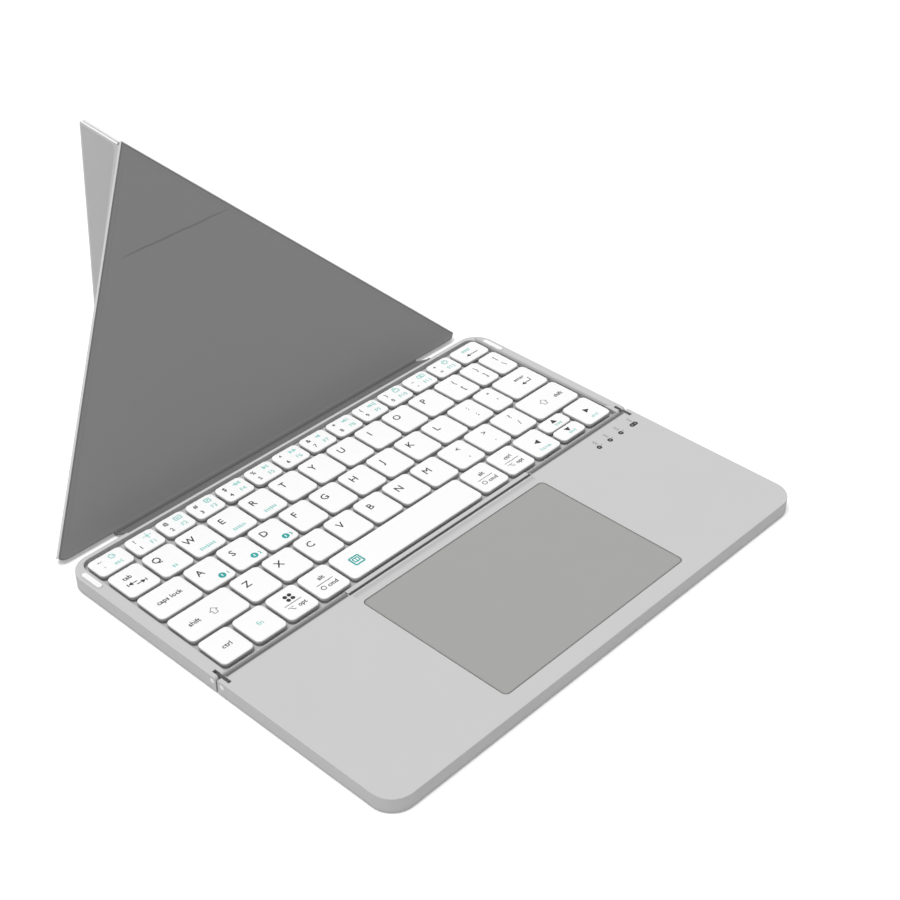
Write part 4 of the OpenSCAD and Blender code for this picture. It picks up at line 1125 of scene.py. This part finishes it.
# Painted shade beside the hinge, in the hollow between the halves and on the rim right of the keys, as greys
# at places
SEAM_X0, SEAM_X1 = 56.2, 121.2
SEAM_SHADES = ((-2.1, 204), (-1.8, 176), (-1.5, 120), (-1.15, 98), (-0.7, 102), (-0.4, 122), (-0.12, 150))
SCOOP_X = 55.2
SCOOP_SHADES = ((-5.6, 204), (-4.5, 194), (-3.8, 185), (-3.2, 186), (-2.75, 192))
RIM_SHADES = ((119.3, 158), (119.8, 162), (120.3, 170), (120.8, 184), (121.3, 199), (121.6, 205))
RIM_SHADE_Y = (6.5, 93.4)
PAD_W, PAD_D, PAD_Y, PAD_TOP, PAD_R = 110.3, 77.9, -47.3, -0.05, 2.25
PAD_LINE_SET, PAD_LINE_W, PAD_LINE_RISE = 0.02, 0.4, 0.006


def add_print(bm, outline, z=PRINT_Z, index=0):
    """A flat printed polygon at a height over the deck."""
    add_flat(bm, [(x, y, z) for x, y in outline], index)


def make_light_marks():
    """Dark rings on the lights, a double one on the last, and a faint row of dashes behind each."""
    bm = bmesh.new()
    spots = [(x, LIGHTS_Y) for x in LIGHT_XS] + [(LAST_LIGHT_X + dx, LIGHTS_Y) for dx in LAST_RINGS]
    for k, (x, y) in enumerate(spots):
        add_print(bm, disc(x, y, LIGHT_R, LIGHT_SIDES), PRINT_Z + MARK_RISE * k)
        add_print(bm, disc(x, y, DOT_R, DOT_SIDES), DOT_Z, 1)
    for x in LIGHT_XS:
        near, far = (x + dx for dx in TICK_X)
        add_print(bm, bar(near, LIGHTS_Y + TICK_Y, far, LIGHTS_Y + TICK_Y))
    for x in LIGHT_XS + [LAST_LIGHT_X]:
        for k in range(LABEL_COUNT):
            y = LIGHTS_Y + LABEL_START + LABEL_STEP * k
            add_print(bm, bar(x + LABEL_X + LABEL_SWAY * (k % 2), y, x + LABEL_END, y, LABEL_W), index=2)
    flat_piece(bm, "light_marks", [LOOK["dark_lens"], PALE_DOT, PALE_INK], "palmrest")


def make_shade_bands():
    """Painted shade beside the hinge, in the soft hollow between its halves, and right of the keys."""
    for name, shades, spans in (("seam_shade", SEAM_SHADES, ((-SEAM_X1, -SEAM_X0), (SEAM_X0, SEAM_X1))),
                                ("scoop_shade", SCOOP_SHADES, ((-SCOOP_X, SCOOP_X),))):
        bm = bmesh.new()
        low, high = shades[0][0], shades[-1][0]
        for x0, x1 in spans:
            add_print(bm, rectangle(x0, low, x1, high))
        flat_piece(bm, name, [band_material(name, shades)], "palmrest")
    bm = bmesh.new()
    low, high = RIM_SHADES[0][0], RIM_SHADES[-1][0]
    front, rear = RIM_SHADE_Y
    taper = high - low
    add_print(bm, [(low, front + taper), (high, front), (high, rear), (low, rear - taper)])
    flat_piece(bm, "rim_shade", [band_material("rim_shade", RIM_SHADES, "X")], "keyboard_half")


def make_pad_line():
    """Painted shade: a thin dark line around the touch pad's edge, in the gap beside the case."""
    bm = bmesh.new()
    corners = rectangle(-PAD_W / 2, PAD_Y - PAD_D / 2, PAD_W / 2, PAD_Y + PAD_D / 2)
    add_loop(bm, Matrix.Identity(4), corners, [PAD_R] * 4, PAD_LINE_SET, PAD_LINE_W, PAD_TOP + PAD_LINE_RISE)
    flat_piece(bm, "touchpad_gap_shade", [PAD_GAP_SHADE], "touchpad")


# Looks for the CAD pieces that stay

SHARP_ANGLE = 28


def dress_nodes():
    """Gives each CAD node the material of its slot."""
    slots = {s["node"]: s["material_slot"] for s in frame["record"]["subparts"]}
    for name, node in frame["nodes"].items():
        node.data.materials.clear()
        node.data.materials.append(LOOK[slots[name]])
        smooth_below(node.data, SHARP_ANGLE)


# Stage, in metres

WHITE = (1, 1, 1, 1)
HORIZON_LIGHT = 0.2
TOP_LIGHT = 0.58
SUN = 1.8
SUN_ANGLE = 25
SUN_WAY = (0.26, 0.0, -1.0)
FLOOR_LIFT = 0.3
FLOOR_LOOK = {"Base Color": (0.82, 0.82, 0.82, 1), "Roughness": 0.9, "Specular IOR Level": 0.1}
FLOOR_SIZE = 4
FLOOR_Z = -0.0002
LENS = 70.11
EYE = (-0.4188, -0.471378, 0.4752)
AIM = (0.044477, -0.033735, 0.0073)


def make_world():
    """Soft light from above, which the camera and glossy surfaces see as white."""
    world = bpy.data.worlds.new("studio")
    bpy.context.scene.world = world
    world.use_nodes = True
    tree = world.node_tree
    light = tree.nodes["Background"]
    set_inputs(light, {"Color": WHITE})
    place = add_node(tree, "TexCoord")
    parts = add_node(tree, "SeparateXYZ")
    rise = add_node(tree, "MapRange", {"To Min": HORIZON_LIGHT, "To Max": TOP_LIGHT})
    seen = add_node(tree, "Background", {"Strength": 1.0, "Color": WHITE})
    rays = add_node(tree, "LightPath")
    seen_by = add_node(tree, "Math", operation="MAXIMUM")
    mix = add_node(tree, "MixShader")
    join(tree, (place, "Generated", parts, 0), (parts, "Z", rise, "Value"), (rise, 0, light, "Strength"),
         (rays, "Is Camera Ray", seen_by, 0), (rays, "Is Glossy Ray", seen_by, 1), (seen_by, 0, mix, 0),
         (light, 0, mix, 1), (seen, 0, mix, 2), (mix, 0, tree.nodes["World Output"], "Surface"))


def make_lamp():
    """One wide lamp from above."""
    sun = bpy.data.lights.new("key_light", "SUN")
    sun.energy = SUN
    sun.angle = math.radians(SUN_ANGLE)
    lamp = linked("key_light", sun)
    lamp.rotation_euler = Vector(SUN_WAY).to_track_quat("-Z", "Y").to_euler()


def make_floor():
    """A pale floor that looks white to the camera and keeps the object's shadow."""
    bm = bmesh.new()
    bmesh.ops.create_grid(bm, x_segments=2, y_segments=2, size=FLOOR_SIZE)
    mesh = bpy.data.meshes.new("floor")
    bm.to_mesh(mesh)
    bm.free()
    pale = bpy.data.materials.new("floor_white")
    pale.use_nodes = True
    tree = pale.node_tree
    shader = shader_of(tree)
    set_inputs(shader, FLOOR_LOOK)
    rays = add_node(tree, "LightPath")
    lift = add_node(tree, "Emission")
    strength = add_node(tree, "Math", {1: FLOOR_LIFT}, operation="MULTIPLY")
    both = add_node(tree, "AddShader")
    join(tree, (rays, "Is Camera Ray", strength, 0), (strength, 0, lift, "Strength"), (shader, 0, both, 0),
         (lift, 0, both, 1), (both, 0, tree.nodes["Material Output"], "Surface"))
    mesh.materials.append(pale)
    floor = linked("floor", mesh)
    floor.location.z = FLOOR_Z


def make_camera():
    """The camera at the photograph's place."""
    camera = bpy.data.cameras.new("camera")
    camera.sensor_width = 36
    camera.lens = LENS
    camera.clip_start = 0.01
    eye = linked("camera", camera)
    eye.location = EYE
    eye.rotation_euler = (Vector(AIM) - eye.location).to_track_quat("-Z", "Y").to_euler()
    scene = bpy.context.scene
    scene.camera = eye
    scene.view_settings.view_transform = "Standard"


make_world()
make_lamp()
make_floor()
make_camera()
dress_nodes()
make_keys()
make_stand()
make_light_marks()
make_shade_bands()
make_pad_line()
